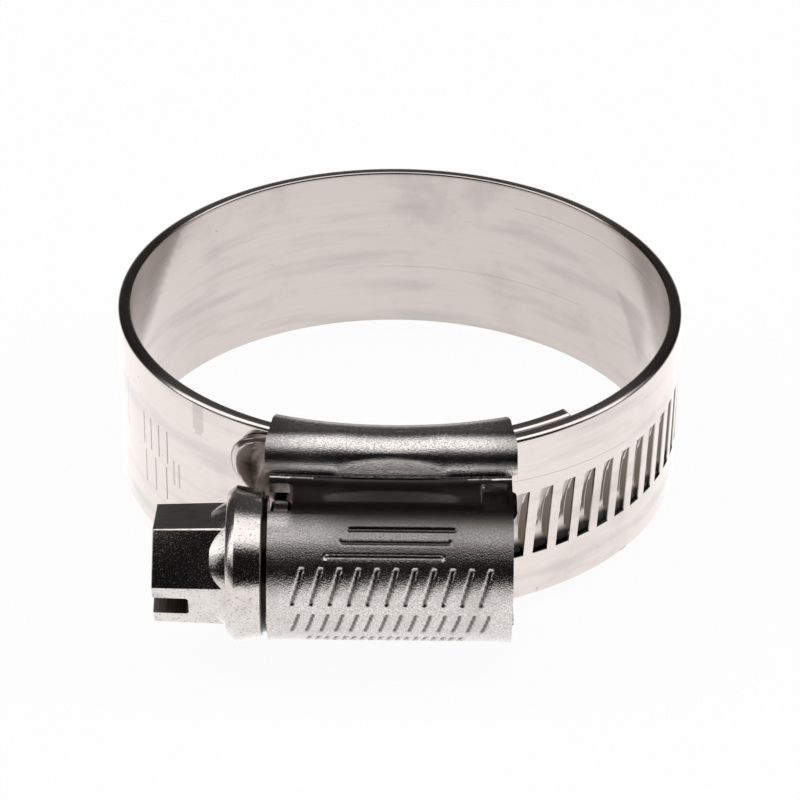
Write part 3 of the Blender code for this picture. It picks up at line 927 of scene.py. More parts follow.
# %% Turned body
HEX_END = -15.68
HEX_BASE = -10.88
HEX_FLATS = 7.0
COLLAR_FACE = -8.51
CORE_RADIUS = 2.9
BODY_PROFILE = (
    # The cone, from inside the hexagon to the collar
    (HEX_BASE - 1.06, HEX_FLATS / 2 + 0.01), (HEX_BASE - 0.7, 3.74), (HEX_BASE - 0.3, 3.95),
    (HEX_BASE - 0.02, 4.06),
    # The collar, with broken edges
    (HEX_BASE, 4.70), (HEX_BASE + 0.05, 4.78), (HEX_BASE + 0.47, 5.10), (HEX_BASE + 0.57, 5.155),
    (COLLAR_FACE - 0.12, 4.84), (COLLAR_FACE, 4.72), (COLLAR_FACE, 4.5),
    # The groove behind the collar, and the journal
    (-8.25, 4.5), (-8.25, 3.3), (-8.12, 3.3), (-8.12, 3.7), (-8.02, 4.05), (-7.85, 4.2),
    (-6.95, 4.2), (-6.7, 3.9),
    # The core, which carries the worm
    (-6.7, CORE_RADIUS), (7.1, CORE_RADIUS), (7.4, 2.6),
)


def turned(name, profile, steps=144):
    """Round solid about the screw's axis, from pairs of length and radius."""
    deselect()
    start, radius = profile[0]
    bpy.ops.mesh.primitive_circle_add(
        vertices=steps, radius=radius * MM, fill_type="NGON",
        location=Vector(place(start, AXIS_OUT, 0.0)), rotation=(0.0, math.pi / 2, 0.0))
    item = bpy.context.object
    item.name = item.data.name = name
    bpy.ops.object.transform_apply(location=True, rotation=True, scale=True)
    edit(item)
    for length, wider in profile[1:]:
        bpy.ops.mesh.extrude_region_move(
            TRANSFORM_OT_translate={"value": ((length - start) * MM, 0.0, 0.0)})
        ratio = wider / radius
        bpy.ops.transform.resize(
            value=(1.0, ratio, ratio), center_override=Vector(place(length, AXIS_OUT, 0.0)))
        start, radius = length, wider
    bpy.ops.mesh.select_all(action="SELECT")
    bpy.ops.mesh.normals_make_consistent(inside=False)
    bpy.ops.object.mode_set(mode="OBJECT")
    return item


screw = turned("clamp_screw", BODY_PROFILE)
print("screw body", len(screw.data.polygons), "faces")

# %% [markdown]
# The head is a six-sided cylinder, a little smaller at its outer end, with its
# edges broken by a bevel. It stands turned by a few degrees, as the screw was left
# when it was last wound. A Boolean joins it to the body.

# %% Hexagon head
HEX_TURN = math.radians(8.3)
HEX_TAPER = 0.3
HEX_SUNK = 0.4
HEX_BREAK = 0.09


def turn_about_axis(item, angle):
    """Turn a mesh about the screw's axis."""
    to_axis = Matrix.Translation(SCREW_AXIS)
    item.data.transform(to_axis @ Matrix.Rotation(angle, 4, "X") @ Matrix.Translation(-SCREW_AXIS))


def cut(item, tool, operation="DIFFERENCE"):
    """Boolean with a tool that is removed afterwards."""
    step = item.modifiers.new(tool.name, "BOOLEAN")
    step.operation = operation
    step.solver = "EXACT"
    step.object = tool
    apply_all(item)
    bpy.data.objects.remove(tool, do_unlink=True)


def hexagon():
    """Tapered hexagon, sunk a little into the collar."""
    deselect()
    length = HEX_BASE + HEX_SUNK - HEX_END
    bpy.ops.mesh.primitive_cone_add(
        vertices=6, radius1=(HEX_FLATS - HEX_TAPER) / math.sqrt(3) * MM,
        radius2=HEX_FLATS / math.sqrt(3) * MM, depth=length * MM,
        location=Vector(place(HEX_END + length / 2, AXIS_OUT, 0.0)))
    item = bpy.context.object
    item.name = "hexagon"
    item.rotation_mode = "QUATERNION"
    item.rotation_quaternion = Matrix.Rotation(math.pi / 2, 4, "Y").to_quaternion()
    bpy.ops.object.transform_apply(location=True, rotation=True, scale=True)
    corner = item.data.vertices[0].co - SCREW_AXIS
    turn_about_axis(item, math.atan2(corner.z, -corner.y) - HEX_TURN)
    step = item.modifiers.new("broken edges", "BEVEL")
    step.width = HEX_BREAK * MM
    step.segments = 3
    step.limit_method = "ANGLE"
    step.angle_limit = math.radians(40.0)
    apply_all(item)
    return item


cut(screw, hexagon(), "UNION")
print("screw with its head", len(screw.data.polygons), "faces")

# %% [markdown]
# The worm is one section of the thread, drawn along a helix by the Screw modifier.
# A ring of six points is the section, and its first place is worked out from the
# slots, so the ridge meets every slot. It ends just short of the strip, because
# here the strip doesn't move along when the screw turns.

# %% Worm
WORM_START = -5.9
WORM_END = 6.3
WORM_RADIUS = 3.52
WORM_STEPS = 48
ROOT_RADIUS = 2.6
RIDGE = ((-0.5, ROOT_RADIUS), (-0.5, CORE_RADIUS), (-0.17, WORM_RADIUS), (0.17, WORM_RADIUS),
         (0.5, CORE_RADIUS), (0.5, ROOT_RADIUS))


def worm():
    """Ridge of the thread, in step with the slots."""
    whole = math.floor((WORM_END - WORM_START) / SLOT_PITCH)
    begin = math.pi - math.tau * (WORM_START - SLOT_START) / SLOT_PITCH
    deselect()
    bpy.ops.mesh.primitive_circle_add(vertices=len(RIDGE), fill_type="NOTHING")
    item = bpy.context.object
    item.name = item.data.name = "worm"
    for vertex, (shift, radius) in zip(item.data.vertices, RIDGE):
        out = AXIS_OUT + radius * math.cos(begin)
        vertex.co = Vector(place(WORM_START + shift, out, radius * math.sin(begin))) - SCREW_AXIS
    step = item.modifiers.new("helix", "SCREW")
    step.axis = "X"
    step.angle = math.tau * whole
    step.steps = step.render_steps = WORM_STEPS * whole
    step.screw_offset = SLOT_PITCH * MM * whole
    step.use_merge_vertices = False
    apply_all(item)
    item.data.transform(Matrix.Translation(SCREW_AXIS))
    select_borders(item)
    bpy.ops.mesh.fill()
    bpy.ops.mesh.select_all(action="SELECT")
    bpy.ops.mesh.normals_make_consistent(inside=False)
    bpy.ops.object.mode_set(mode="OBJECT")
    return item


cut(screw, worm(), "UNION")
print("screw with its worm", len(screw.data.polygons), "faces")

# %% [markdown]
# The slot for a flat screwdriver is sawn across the head, from the middle of one
# flat to the middle of the opposite one. A block with rounded edges cuts it, turned
# like the hexagon.

# %% Driver slot
DRIVER_DEPTH = 2.35
DRIVER_HALF = 0.88
DRIVER_CORNER = 0.22
DRIVER_TURN = HEX_TURN - math.pi / 6


def rounded_block(name, low, high, radius, segments):
    """Box between two corners, with its upright edges rounded."""
    deselect()
    middle = (Vector(low) + Vector(high)) / 2
    size = Vector(high) - Vector(low)
    bpy.ops.mesh.primitive_cube_add(size=1.0, location=Vector(place(*middle)), scale=size * MM)
    item = bpy.context.object
    item.name = name
    bpy.ops.object.transform_apply(location=True, rotation=True, scale=True)
    edit(item)
    bpy.ops.mesh.select_mode(type="EDGE")
    bpy.ops.mesh.select_all(action="DESELECT")
    bpy.ops.object.mode_set(mode="OBJECT")
    for edge in item.data.edges:
        ends = [item.data.vertices[index].co for index in edge.vertices]
        edge.select = abs(ends[0].z - ends[1].z) > size.z * MM * 0.5
    bpy.ops.object.mode_set(mode="EDIT")
    bpy.ops.mesh.bevel(offset=radius * MM, segments=segments, affect="EDGES")
    bpy.ops.object.mode_set(mode="OBJECT")
    return item


saw = rounded_block(
    "driver_slot", (HEX_END - 2.0, AXIS_OUT - DRIVER_HALF, -6.0),
    (HEX_END + DRIVER_DEPTH, AXIS_OUT + DRIVER_HALF, 6.0), DRIVER_CORNER, 5)
turn_about_axis(saw, math.pi / 2 - DRIVER_TURN)
cut(screw, saw)
shade(screw, 30.0)
print("screw", len(screw.data.polygons), "faces")

# %% [markdown]
# ## Finishes
#
# All three pieces are bare stainless steel, so they share a few effects, each with
# its own values: smudges, rolling streaks, specks and ruled marks. Small helpers
# place and feed the nodes, so a finish reads like a recipe. The first ones make a
# node and give its inputs a link or a plain value.


# %% Nodes and what feeds them
def add_node(tree, kind, **settings):
    """A node with its plain settings."""
    node = tree.nodes.new(kind)
    for key, value in settings.items():
        setattr(node, key, value)
    return node


def feed(tree, value, socket):
    """Give an input a link, a plain number or a plain colour."""
    if isinstance(value, bpy.types.NodeSocket):
        tree.links.new(value, socket)
    elif isinstance(value, tuple):
        socket.default_value = (*value, 1.0)
    else:
        socket.default_value = value


def maths(tree, operation, *values):
    """Result of a Math node."""
    node = add_node(tree, "ShaderNodeMath", operation=operation)
    for value, socket in zip(values, node.inputs):
        feed(tree, value, socket)
    return node.outputs[0]


def split(tree, vector):
    """The X, Y and Z of a vector."""
    node = add_node(tree, "ShaderNodeSeparateXYZ")
    feed(tree, vector, node.inputs["Vector"])
    return node.outputs["X"], node.outputs["Y"], node.outputs["Z"]


print("materials so far", len(bpy.data.materials))

# %% [markdown]
# The next ones cover what every effect needs: a noise, a change of range, and the
# empty group with named inputs that an effect is built in.


# %% Noise, ranges and groups
def noise(tree, vector, scale, detail=2.0, roughness=0.5):
    """Value of a noise texture."""
    node = add_node(tree, "ShaderNodeTexNoise")
    inputs = {"Vector": vector, "Scale": scale, "Detail": detail, "Roughness": roughness}
    for label, value in inputs.items():
        feed(tree, value, node.inputs[label])
    return node.outputs["Fac"]


def ramp_value(tree, value, low, high, start=0.0, end=1.0, **settings):
    """Map a value that runs from start to end onto low to high."""
    node = add_node(tree, "ShaderNodeMapRange", **settings)
    inputs = {"Value": value, "From Min": start, "From Max": end, "To Min": low, "To Max": high}
    for label, plain in inputs.items():
        feed(tree, plain, node.inputs[label])
    return node.outputs["Result"]


def new_group(name, result, **inputs):
    """An empty shader group: its inputs, and the input of its one result."""
    group = bpy.data.node_groups.new(name, "ShaderNodeTree")
    group.interface.new_socket("Vector", in_out="INPUT", socket_type="NodeSocketVector")
    for label, value in inputs.items():
        socket = group.interface.new_socket(label, in_out="INPUT", socket_type="NodeSocketFloat")
        socket.default_value = value
    group.interface.new_socket(result, in_out="OUTPUT", socket_type="NodeSocketFloat")
    given = group.nodes.new("NodeGroupInput").outputs
    return group, given, group.nodes.new("NodeGroupOutput").inputs[result]


print("groups so far", len(bpy.data.node_groups))

# %% [markdown]
# Handled steel has soft smudges, and rolling leaves streaks that run along the
# strip. Both are noise: the smudges with a soft threshold, the streaks with the
# vector squeezed in one direction. An image could show them too, but noise has no
# seam and stays sharp at any size.


# %% Smudges and streaks
def smudge_group():
    """Soft cloudy mask, between 0 and 1."""
    group, given, mask = new_group("soft smudges", "Mask", Scale=300.0, Low=0.45, High=0.7)
    clouds = noise(group, given["Vector"], given["Scale"], detail=5.0, roughness=0.6)
    feed(group, ramp_value(group, clouds, 0.0, 1.0, given["Low"], given["High"],
                           interpolation_type="SMOOTHSTEP"), mask)
    return group


def streak_group():
    """Long thin streaks along the first axis of the given vector."""
    group, given, value = new_group("rolling streaks", "Value", Length=0.05, Fineness=6.0)
    along, across, _ = split(group, given["Vector"])
    squeezed = add_node(group, "ShaderNodeCombineXYZ")
    feed(group, maths(group, "MULTIPLY", along, given["Length"]), squeezed.inputs["X"])
    feed(group, maths(group, "MULTIPLY", across, given["Fineness"]), squeezed.inputs["Y"])
    feed(group, noise(group, squeezed.outputs["Vector"], 1.0, detail=4.0), value)
    return group


SMUDGES = smudge_group()
STREAKS = streak_group()
print("groups", SMUDGES.name, "and", STREAKS.name)

# %% [markdown]
# Specks and pits are the peaks of a fine noise, cut off sharply. Ticks and scribed
# lines are ruled in a sheet's flat millimetres: a test for each side of a mark, all
# multiplied. Ticks repeat by their pitch, and a pitch that is longer than the mark
# gives a single line or stain.

# %% Specks and ruled marks
SPECK_LEVEL = 0.78
SPECK_EDGE = 0.06


def speck_group():
    """Small sharp specks, as 1 on a ground of 0."""
    group, given, mask = new_group("specks", "Mask", Scale=3000.0, Share=0.1)
    level = maths(group, "SUBTRACT", SPECK_LEVEL, given["Share"])
    peaks = noise(group, given["Vector"], given["Scale"])
    feed(group, ramp_value(group, peaks, 0.0, 1.0, level, maths(group, "ADD", level, SPECK_EDGE),
                           interpolation_type="SMOOTHSTEP"), mask)
    return group


def mark_group():
    """Upright ticks, or one long scribed line, in a sheet's flat coordinates."""
    group, given, mask = new_group(
        "ruled marks", "Mask", Start=0.0, End=1.0, Pitch=1.0, Width=0.1,
        Low=0.0, High=1.0, Slope=0.0)
    x, y, _ = split(group, given["Vector"])
    along = maths(group, "SUBTRACT", x, given["Start"])
    up = maths(group, "ADD", y, maths(group, "MULTIPLY", along, given["Slope"]))
    within = maths(group, "FLOORED_MODULO", along, given["Pitch"])
    inside = maths(group, "LESS_THAN", within, given["Width"])
    for test, value, limit in (("GREATER_THAN", x, "Start"), ("LESS_THAN", x, "End"),
                               ("GREATER_THAN", up, "Low"), ("LESS_THAN", up, "High")):
        inside = maths(group, "MULTIPLY", inside, maths(group, test, value, given[limit]))
    feed(group, inside, mask)
    return group


SPECKS = speck_group()
MARKS = mark_group()
print("groups", SPECKS.name, "and", MARKS.name)

# %% [markdown]
# A finish is built like paint: a ground colour, and thin layers over it, each with
# a mask and a strength. Shaders could be mixed instead, one for each layer, but
# mixed colours keep one shader for each metal and are quick to render.


# %% Layers of colour
def use_group(tree, group, vector, **values):
    """Result of a group placed in a material, with its own values."""
    node = add_node(tree, "ShaderNodeGroup", node_tree=group)
    feed(tree, vector, node.inputs["Vector"])
    for label, value in values.items():
        feed(tree, value, node.inputs[label])
    return node.outputs[0]


def mix_colour(tree, factor, first, second):
    """Mix of two colours; either may be a socket or a plain colour."""
    node = add_node(tree, "ShaderNodeMix", data_type="RGBA")
    for value, socket in ((factor, "Factor"), (first, 6), (second, 7)):
        feed(tree, value, node.inputs[socket])
    return node.outputs[2]


def cover(tree, colour, over, mask, strength, start=0.0, end=1.0):
    """Lay a colour over another where a mask is high, at most at a strength."""
    return mix_colour(tree, ramp_value(tree, mask, 0.0, strength, start, end), colour, over)


def painted(tree, name):
    """A number that was painted on the piece."""
    return add_node(tree, "ShaderNodeAttribute", attribute_name=name).outputs["Fac"]


def bump(tree, height, strength, depth):
    """Normal of a surface with a height in it."""
    node = add_node(tree, "ShaderNodeBump")
    for label, value in {"Height": height, "Strength": strength, "Distance": depth}.items():
        feed(tree, value, node.inputs[label])
    return node.outputs["Normal"]


print("layers use", len(bpy.data.node_groups), "groups")

# %% [markdown]
# Every metal here starts and ends alike: a metallic shader that reads Object
# coordinates, and three inputs to feed.


# %% A metal
def steel(name):
    """New metal: its material, its node tree and its Object coordinates."""
    material = bpy.data.materials.new(name)
    material.use_nodes = True
    tree = material.node_tree
    tree.nodes["Principled BSDF"].inputs["Metallic"].default_value = 1.0
    return material, tree, add_node(tree, "ShaderNodeTexCoord").outputs["Object"]


def dress(material, colour, roughness, normal=None):
    """Feed a metal's shader."""
    tree = material.node_tree
    inputs = tree.nodes["Principled BSDF"].inputs
    feed(tree, colour, inputs["Base Color"])
    feed(tree, roughness, inputs["Roughness"])
    if normal is not None:
        feed(tree, normal, inputs["Normal"])
    return material


print("metals so far", len(bpy.data.materials))

# %% [markdown]
# The strip carries rows of ticks, a scribed line, scratches and small stains. They
# are ruled in its flat millimetres, so they bend with the steel. Each has its
# strength, its ends along the strip, its lower and upper height, and, for ticks,
# their pitch and width.

# %% Marks on the band
NO_PITCH = 99.0
NO_WIDTH = 98.0


def ruled(strength, start, end, low, high, pitch=NO_PITCH, width=NO_WIDTH, slope=0.0):
    """Strength and values of a row of ticks or, with no pitch, of one mark."""
    return strength, {"Start": start, "End": end, "Low": low, "High": high,
                      "Pitch": pitch, "Width": width, "Slope": slope}


BAND_MARKS = (
    # Rows of ticks to the left of the housing
    ruled(0.80, 106.5, 110.0, -0.1, 2.5, pitch=1.12, width=0.13),
    ruled(0.80, 106.7, 110.0, -3.1, -0.45, pitch=1.49, width=0.13),
    ruled(0.40, 101.0, 103.2, -0.4, 3.4, pitch=1.0, width=0.2),
    ruled(0.40, 110.6, 111.6, -1.45, 0.5, pitch=0.62, width=0.2),
    # A small stain under the upper edge, in two steps
    ruled(0.24, 113.0, 114.05, 4.2, 6.3),
    ruled(0.24, 113.2, 113.85, 3.9, 4.2),
    # A scribed line over the slots, and a nick at the lower edge
    ruled(0.30, 8.2, 18.0, 3.16, 3.24, slope=0.041),
    ruled(0.85, 18.2, 18.9, -6.5, -6.2),
    # Two long scratches inside the ring
    ruled(0.28, 36.0, 54.5, INSIDE_SHIFT + 4.6, INSIDE_SHIFT + 4.68),
    ruled(0.15, 48.0, 66.0, INSIDE_SHIFT - 1.7, INSIDE_SHIFT - 1.58),
)
print("marks", len(BAND_MARKS))

# %% [markdown]
# The strip is bright rolled steel with a faint warm tone, fine streaks and a few
# dull drawn ones, under smudges, specks and the marks. The last two layers are
# painted shade: grey and brown up to a knee, and from there to black.

# %% Steel of the band
BAND_DARK = (0.585, 0.525, 0.497)
BAND_LIGHT = (0.610, 0.553, 0.526)
BAND_DRAWN = (0.43, 0.405, 0.395)
BAND_SMUDGED = (0.41, 0.385, 0.375)
BAND_SPECK = (0.16, 0.14, 0.12)
BAND_MARK = (0.13, 0.115, 0.105)
SHADED_STEEL = (0.115, 0.094, 0.080)
SHADE_BLACK = (0.012, 0.010, 0.009)
SHADE_KNEE = 0.88


def band_material():
    """Bright rolled strip: faint smudges, ticks, scribed lines, and painted shade in its slots and
    elsewhere.
    """
    material, tree, spots = steel("band steel")
    strip = add_node(tree, "ShaderNodeUVMap", uv_map="strip").outputs["UV"]
    streaks = use_group(tree, STREAKS, strip, Length=0.05, Fineness=5.0)
    drawn = use_group(tree, STREAKS, strip, Length=0.09, Fineness=0.55)
    smudges = use_group(tree, SMUDGES, spots, Scale=190.0, Low=0.5, High=0.78)
    specks = use_group(tree, SPECKS, spots, Scale=1700.0, Share=0.03)
    colour = cover(tree, BAND_DARK, BAND_LIGHT, streaks, 1.0, 0.3, 0.7)
    colour = cover(tree, colour, BAND_DRAWN, drawn, 0.6, 0.50, 0.68)
    colour = cover(tree, colour, BAND_SMUDGED, smudges, 0.6)
    colour = cover(tree, colour, BAND_SPECK, specks, 0.6)
    for strength, values in BAND_MARKS:
        mark = use_group(tree, MARKS, strip, **values)
        colour = cover(tree, colour, BAND_MARK, mark, strength)
    # Painted shade: brown up to the knee, black beyond it.
    painted_darkness = painted(tree, "painted_darkness")
    colour = cover(tree, colour, SHADED_STEEL, painted_darkness, 1.0, 0.0, SHADE_KNEE)
    colour = cover(tree, colour, SHADE_BLACK, painted_darkness, 1.0, SHADE_KNEE, 1.0)
    roughness = ramp_value(tree, streaks, 0.15, 0.22, 0.3, 0.7)
    return dress(material, colour, roughness, bump(tree, streaks, 0.08, 0.00003))


band.data.materials.clear()
band.data.materials.append(band_material())
print("band has", [material.name for material in band.data.materials])

# %% [markdown]
# The housing's sheet is duller: pressing leaves a fine satin grain, here a very
# small noise in colour and bump. Painted shade darkens its neck and its upper barrel,
# with painted light in a few places, and fills the cores of the pressed strokes. Where
# the sheet is sheared, its edges are brighter than its faces, so the rims get a
# material of their own.

# %% Steel of the housing
GRAIN_DARK = (0.33, 0.31, 0.30)
GRAIN_LIGHT = (0.66, 0.625, 0.605)
SHEET_SMUDGED = (0.31, 0.285, 0.275)
SHEET_GLOOM = (0.026, 0.024, 0.022)
STROKE_SHADE_COLOUR = (0.07, 0.06, 0.055)
RIM_LIGHT = (0.60, 0.56, 0.54)
RIM_DARK = (0.40, 0.37, 0.355)


def housing_material():
    """Pressed sheet with a satin grain, and painted shade in its neck."""
    material, tree, spots = steel("housing steel")
    grain = noise(tree, spots, 11000.0, detail=3.0)
    smudges = use_group(tree, SMUDGES, spots, Scale=330.0, Low=0.42, High=0.72)
    colour = cover(tree, GRAIN_DARK, GRAIN_LIGHT, grain, 1.0, 0.32, 0.68)
    colour = cover(tree, colour, SHEET_SMUDGED, smudges, 0.4)
    # Painted light and shade of the sheet, then painted shade in the strokes' cores.
    colour = mix_colour(tree, painted(tree, "painted_gloom"), colour, SHEET_GLOOM)
    colour = cover(tree, colour, STROKE_SHADE_COLOUR, painted(tree, "painted_darkness"), 0.88)
    roughness = ramp_value(tree, smudges, 0.19, 0.26)
    return dress(material, colour, roughness, bump(tree, grain, 0.55, 0.000036))


def edge_material():
    """Sheared edges of the sheet, brighter than its faces."""
    material, tree, spots = steel("sheared edge")
    smudges = use_group(tree, SMUDGES, spots, Scale=900.0, Low=0.4, High=0.7)
    return dress(material, mix_colour(tree, smudges, RIM_LIGHT, RIM_DARK), 0.38)


housing.data.materials.clear()
for make in (housing_material, edge_material):
    housing.data.materials.append(make())
rim_faces = housing.data.polygons[2 * sheet_faces:]
for face in rim_faces:
    face.material_index = 1
print("sheared faces", len(rim_faces))

# %% [markdown]
# The screw is the brightest piece, pitted by its cold heading and finely speckled.
# Painted shade makes it black in the gap behind the collar, and darker where the
# window shows its journal.

# %% Steel of the screw
SCREW_BRIGHT = (0.55, 0.515, 0.495)
SCREW_SMUDGED = (0.36, 0.335, 0.32)
SCREW_PIT = (0.16, 0.145, 0.135)
GAP_END = -7.9
WINDOW_END = -6.4
WINDOW_SHADE = 0.35


def screw_material():
    """Bright turned steel, pitted and speckled, with painted shade where it runs in the housing."""
    material, tree, spots = steel("screw steel")
    smudges = use_group(tree, SMUDGES, spots, Scale=500.0, Low=0.45, High=0.7)
    specks = use_group(tree, SPECKS, spots, Scale=19000.0, Share=0.15)
    pits = use_group(tree, SPECKS, spots, Scale=7000.0, Share=0.19)
    colour = cover(tree, SCREW_BRIGHT, SCREW_SMUDGED, smudges, 0.55)
    colour = cover(tree, colour, SCREW_PIT, pits, 0.6)
    colour = mix_colour(tree, painted(tree, "painted_darkness"), colour, SHADE_BLACK)
    roughness = ramp_value(tree, specks, 0.14, 0.42)
    return dress(material, colour, roughness, bump(tree, noise(tree, spots, 8000.0), 0.25, 0.00004))


spots = np.empty(len(screw.data.vertices) * 3)
screw.data.vertices.foreach_get("co", spots)
from_axis = (spots.reshape(-1, 3)[:, 0] - SCREW_AXIS.x) / MM
# Painted shade: black in the gap, darker behind the window.
in_gap = (from_axis > COLLAR_FACE - 0.01) & (from_axis < GAP_END)
in_window = (from_axis >= GAP_END) & (from_axis < WINDOW_END)
paint(screw, "painted_darkness", 1.0 * in_gap + WINDOW_SHADE * in_window)
print("points in the gap", int(in_gap.sum()), "and behind the window", int(in_window.sum()))

# %% [markdown]
# Two faces of the head differ: the sawn walls of the driver slot are rough and get
# painted brown shade, and the flat that looks up is brushed, blurs what it mirrors,
# and carries a painted dark reflection. They are found by their place and by the way
# they face, and get materials of their own.

# %% Sawn and brushed faces
# Colours of the painted shade in the driver slot and of the painted dark reflection on the upper
# flat.
SLOT_WALL_SHADE_DARK = (0.075, 0.06, 0.053)
SLOT_WALL_SHADE_LIGHT = (0.17, 0.145, 0.13)
UPPER_FLAT_SHADE_DARK = (0.095, 0.09, 0.086)
UPPER_FLAT_SHADE_LIGHT = (0.135, 0.128, 0.122)
SAWN_SLACK = 0.05
WALL_SLACK = 0.005
UPPER_FLAT = (92.0, 110.0)


def lined_material(name, dark, light, length, fineness, roughness):
    """Steel with fine parallel lines, from brushing or from a saw."""
    material, tree, spots = steel(name)
    lines = use_group(tree, STREAKS, spots, Length=length, Fineness=fineness)
    return dress(material, cover(tree, dark, light, lines, 1.0, 0.35, 0.65), roughness)


def finish_head(item):
    """Give the driver slot's faces the sawn finish in painted shade, and the upper flat the brushed
    one, painted dark.
    """
    side = Vector((0.0, math.sin(DRIVER_TURN), math.cos(DRIVER_TURN)))
    for face in item.data.polygons:
        spot = (face.center - SCREW_AXIS) / MM
        in_slot = spot.x < HEX_END + DRIVER_DEPTH + SAWN_SLACK
        if in_slot and abs(spot.dot(side)) < DRIVER_HALF + WALL_SLACK:
            face.material_index = 1
        facing = math.degrees(math.atan2(face.normal.z, -face.normal.y))
        is_flat = spot.x < HEX_BASE and abs(face.normal.x) < 0.3
        if is_flat and UPPER_FLAT[0] < facing < UPPER_FLAT[1]:
            face.material_index = 2


screw.data.materials.clear()
screw.data.materials.append(screw_material())
screw.data.materials.append(lined_material(
    "sawn steel in painted shade", SLOT_WALL_SHADE_DARK, SLOT_WALL_SHADE_LIGHT, 9000.0, 500.0, 0.42))
screw.data.materials.append(lined_material(
    "brushed flat painted dark", UPPER_FLAT_SHADE_DARK, UPPER_FLAT_SHADE_LIGHT, 700.0, 5000.0, 0.55))
finish_head(screw)
used = [face.material_index for face in screw.data.polygons]
print("sawn faces", used.count(1), "brushed faces", used.count(2))

# %% [markdown]
# The strip and the housing stay where they are, and the screw rides on a body of its
# own. Each piece rides on its body and stands in for its node of the imported model,
# which is hidden; beside them stands the name of that node's finish.

# %% Pieces on their bodies
for piece, body, node, finish in ((band, "clamp", "band", "band_steel"),
                                  (housing, "clamp", "housing", "housing_steel"),
                                  (screw, "screw", "worm_screw", "screw_steel")):
    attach(piece, body)
    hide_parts(node)
    print(piece.name, "rides on", body)

# %% [markdown]
# ## Stage, light and camera
#
# Bright steel shows its surroundings, so the studio is most of the picture. The
# floor is white to the eye and in reflections. A lit floor would show shadows and
# grey edges, so it mostly glows, with a share of plain white for a faint shadow.
# Far to the left and right its mirror image is dim, which darkens the ring's sides.

# %% Floor
REFLECTED = 1.45
REFLECTED_FAR = 0.15
GLOW_SHARE = 0.95


def floor_material():
    """White that glows for the camera and for reflections."""
    material = bpy.data.materials.new("floor white")
    material.use_nodes = True
    tree = material.node_tree
    shader = tree.nodes["Principled BSDF"]
    shader.inputs["Base Color"].default_value = (0.9, 0.9, 0.9, 1.0)
    shader.inputs["Roughness"].default_value = 0.9
    x, _, _ = split(tree, add_node(tree, "ShaderNodeTexCoord").outputs["Object"])
    mirrored = ramp_value(tree, maths(tree, "ABSOLUTE", x), REFLECTED, REFLECTED_FAR, 0.05, 0.12)
    rays = add_node(tree, "ShaderNodeLightPath").outputs
    level = add_node(tree, "ShaderNodeMix")
    for label, value in (("Factor", rays["Is Glossy Ray"]), ("A", 1.0), ("B", mirrored)):
        feed(tree, value, level.inputs[label])
    glow = add_node(tree, "ShaderNodeEmission")
    feed(tree, level.outputs["Result"], glow.inputs["Strength"])
    seen = maths(tree, "MAXIMUM", rays["Is Camera Ray"], rays["Is Glossy Ray"])
    seen = maths(tree, "MAXIMUM", seen, rays["Is Transmission Ray"])
    mix = add_node(tree, "ShaderNodeMixShader")
    feed(tree, maths(tree, "MULTIPLY", seen, GLOW_SHARE), mix.inputs["Fac"])
    feed(tree, shader.outputs["BSDF"], mix.inputs[1])
    feed(tree, glow.outputs["Emission"], mix.inputs[2])
    feed(tree, mix.outputs["Shader"], tree.nodes["Material Output"].inputs["Surface"])
    return material


deselect()
bpy.ops.mesh.primitive_plane_add(size=6.0, location=(0.0, 0.0, -0.00002))
floor = bpy.context.object
floor.name = "floor"
floor.data.materials.append(floor_material())
print("floor", [round(value, 2) for value in floor.dimensions])

# %% [markdown]
# The studio is a colour ramp over the turn from the front, over the top, to the
# back: dark in front, bright overhead, dark high behind and bright at the back's
# foot. This draws the dark bands on the rounded parts, as black cards round a table
# do for a photographer. The camera itself sees plain white.

# %% Studio round the clamp
# Places and levels of grey; the ramp's own two ends come first.
STUDIO_STOPS = ((0.0, 0.008), (1.0, 1.0), (0.30, 0.006), (0.36, 0.95), (0.59, 0.95),
                (0.65, 0.06), (0.90, 0.06), (0.965, 0.95))
SIDE_CARD = (0.045, 0.045, 0.045)
WHITE = (1.0, 1.0, 1.0)


def build_world():
    """Studio by direction: bright overhead, dark in front and high behind."""
    world = bpy.data.worlds.new("studio")
    bpy.context.scene.world = world
    world.use_nodes = True
    tree = world.node_tree
    x, y, z = split(tree, add_node(tree, "ShaderNodeTexCoord").outputs["Generated"])
    turn = maths(tree, "ARCTAN2", z, maths(tree, "MULTIPLY", y, -1.0))
    share = ramp_value(tree, turn, 0.0, 1.0, 0.0, math.pi)
    ramp = add_node(tree, "ShaderNodeValToRGB")
    feed(tree, share, ramp.inputs["Fac"])
    stops = ramp.color_ramp.elements
    for number, (spot, level) in enumerate(STUDIO_STOPS):
        stop = stops[number] if number < 2 else stops.new(spot)
        stop.position, stop.color = spot, (level, level, level, 1.0)
    aside = ramp_value(tree, maths(tree, "ABSOLUTE", x), 0.0, 1.0, 0.2, 0.5)
    behind = ramp_value(tree, share, 0.0, 1.0, 0.66, 0.72)
    card = maths(tree, "MULTIPLY", aside, behind)
    studio = mix_colour(tree, card, ramp.outputs["Color"], SIDE_CARD)
    by_camera = add_node(tree, "ShaderNodeLightPath").outputs["Is Camera Ray"]
    back = tree.nodes["Background"].inputs
    feed(tree, mix_colour(tree, by_camera, studio, WHITE), back["Color"])
    feed(tree, ramp_value(tree, by_camera, REFLECTED, 1.0), back["Strength"])
    return world


print("studio", build_world().name)

# %% [markdown]
# Three soft lamps add form: a wide one overhead, and a weak one at each side.

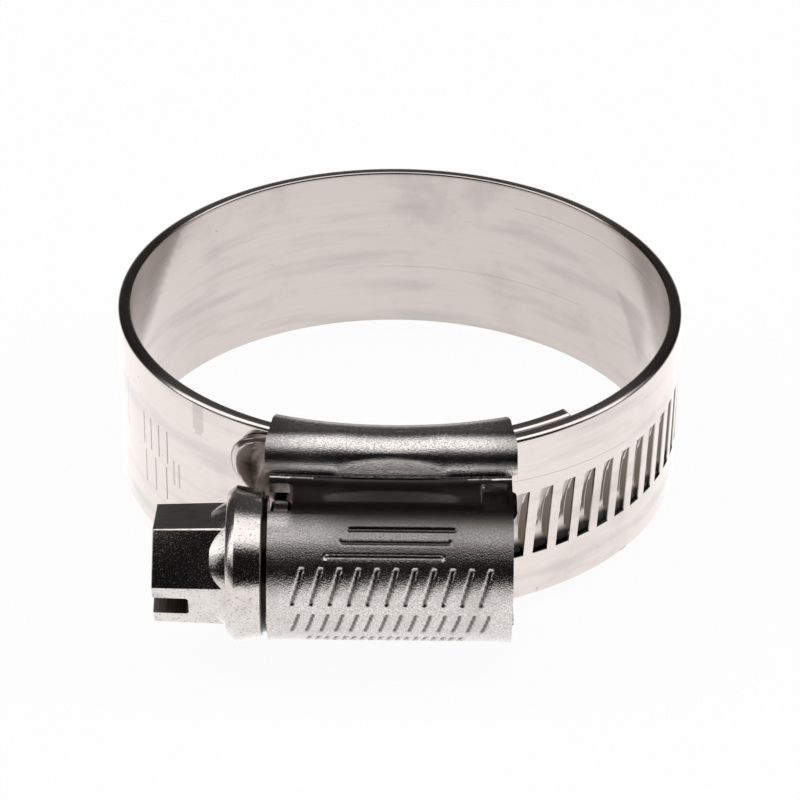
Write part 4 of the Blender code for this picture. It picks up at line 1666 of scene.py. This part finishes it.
# %% Lamps
LAMPS = (("overhead", (0.0, -0.03, 0.6), 1.1, 0.46, 0.8),
         ("side_left", (-0.6, -0.1, 0.3), 0.4, 0.4, 0.35),
         ("side_right", (0.6, 0.05, 0.3), 0.4, 0.4, 0.35))

for name, spot, width, depth, power in LAMPS:
    lamp = bpy.data.lights.new(name, "AREA")
    lamp.shape = "RECTANGLE"
    lamp.size = width
    lamp.size_y = depth
    lamp.energy = power
    item = bpy.data.objects.new(name, lamp)
    item.location = spot
    item.rotation_mode = "QUATERNION"
    item.rotation_quaternion = (-Vector(spot)).to_track_quat("-Z", "Y")
    bpy.context.scene.collection.objects.link(item)
    print("lamp", name, power, "W")

# %% [markdown]
# The camera stands where the photograph's did: a long lens, 24 cm away and 31
# degrees up. Its place comes from the ring's two rims, whose ellipses in the picture
# fix the height, the distance and the lens. Pixels are named as such.

# %% Camera
CAMERA_ELEVATION = math.radians(31.15)
CAMERA_DISTANCE = 0.240
CAMERA_ROLL = math.radians(0.62)
SENSOR = 36.0
PICTURE_PIXELS = 800.0
FOCAL_PIXELS = 3334.0
CENTRE_PIXEL_X = 395.4
CENTRE_PIXEL_Y = 375.9

data = bpy.data.cameras.new("camera")
data.sensor_width = SENSOR
data.lens = SENSOR * FOCAL_PIXELS / PICTURE_PIXELS
data.shift_x = (PICTURE_PIXELS / 2 - CENTRE_PIXEL_X) / PICTURE_PIXELS
data.shift_y = (CENTRE_PIXEL_Y - PICTURE_PIXELS / 2) / PICTURE_PIXELS
data.clip_start = 0.01
data.clip_end = 10.0
camera = bpy.data.objects.new("camera", data)
bpy.context.scene.collection.objects.link(camera)
back = Vector((0.0, -math.cos(CAMERA_ELEVATION), math.sin(CAMERA_ELEVATION)))
camera.location = RING_CENTRE + back * CAMERA_DISTANCE
camera.rotation_mode = "QUATERNION"
look = (-back).to_track_quat("-Z", "Y")
camera.rotation_quaternion = look @ Quaternion((0.0, 0.0, 1.0), CAMERA_ROLL)
bpy.context.scene.camera = camera
bpy.context.scene.view_settings.view_transform = "Standard"
print("camera", [round(value, 4) for value in camera.location])

# %% [markdown]
# At the end nothing is left selected.

# %% Finish
deselect()
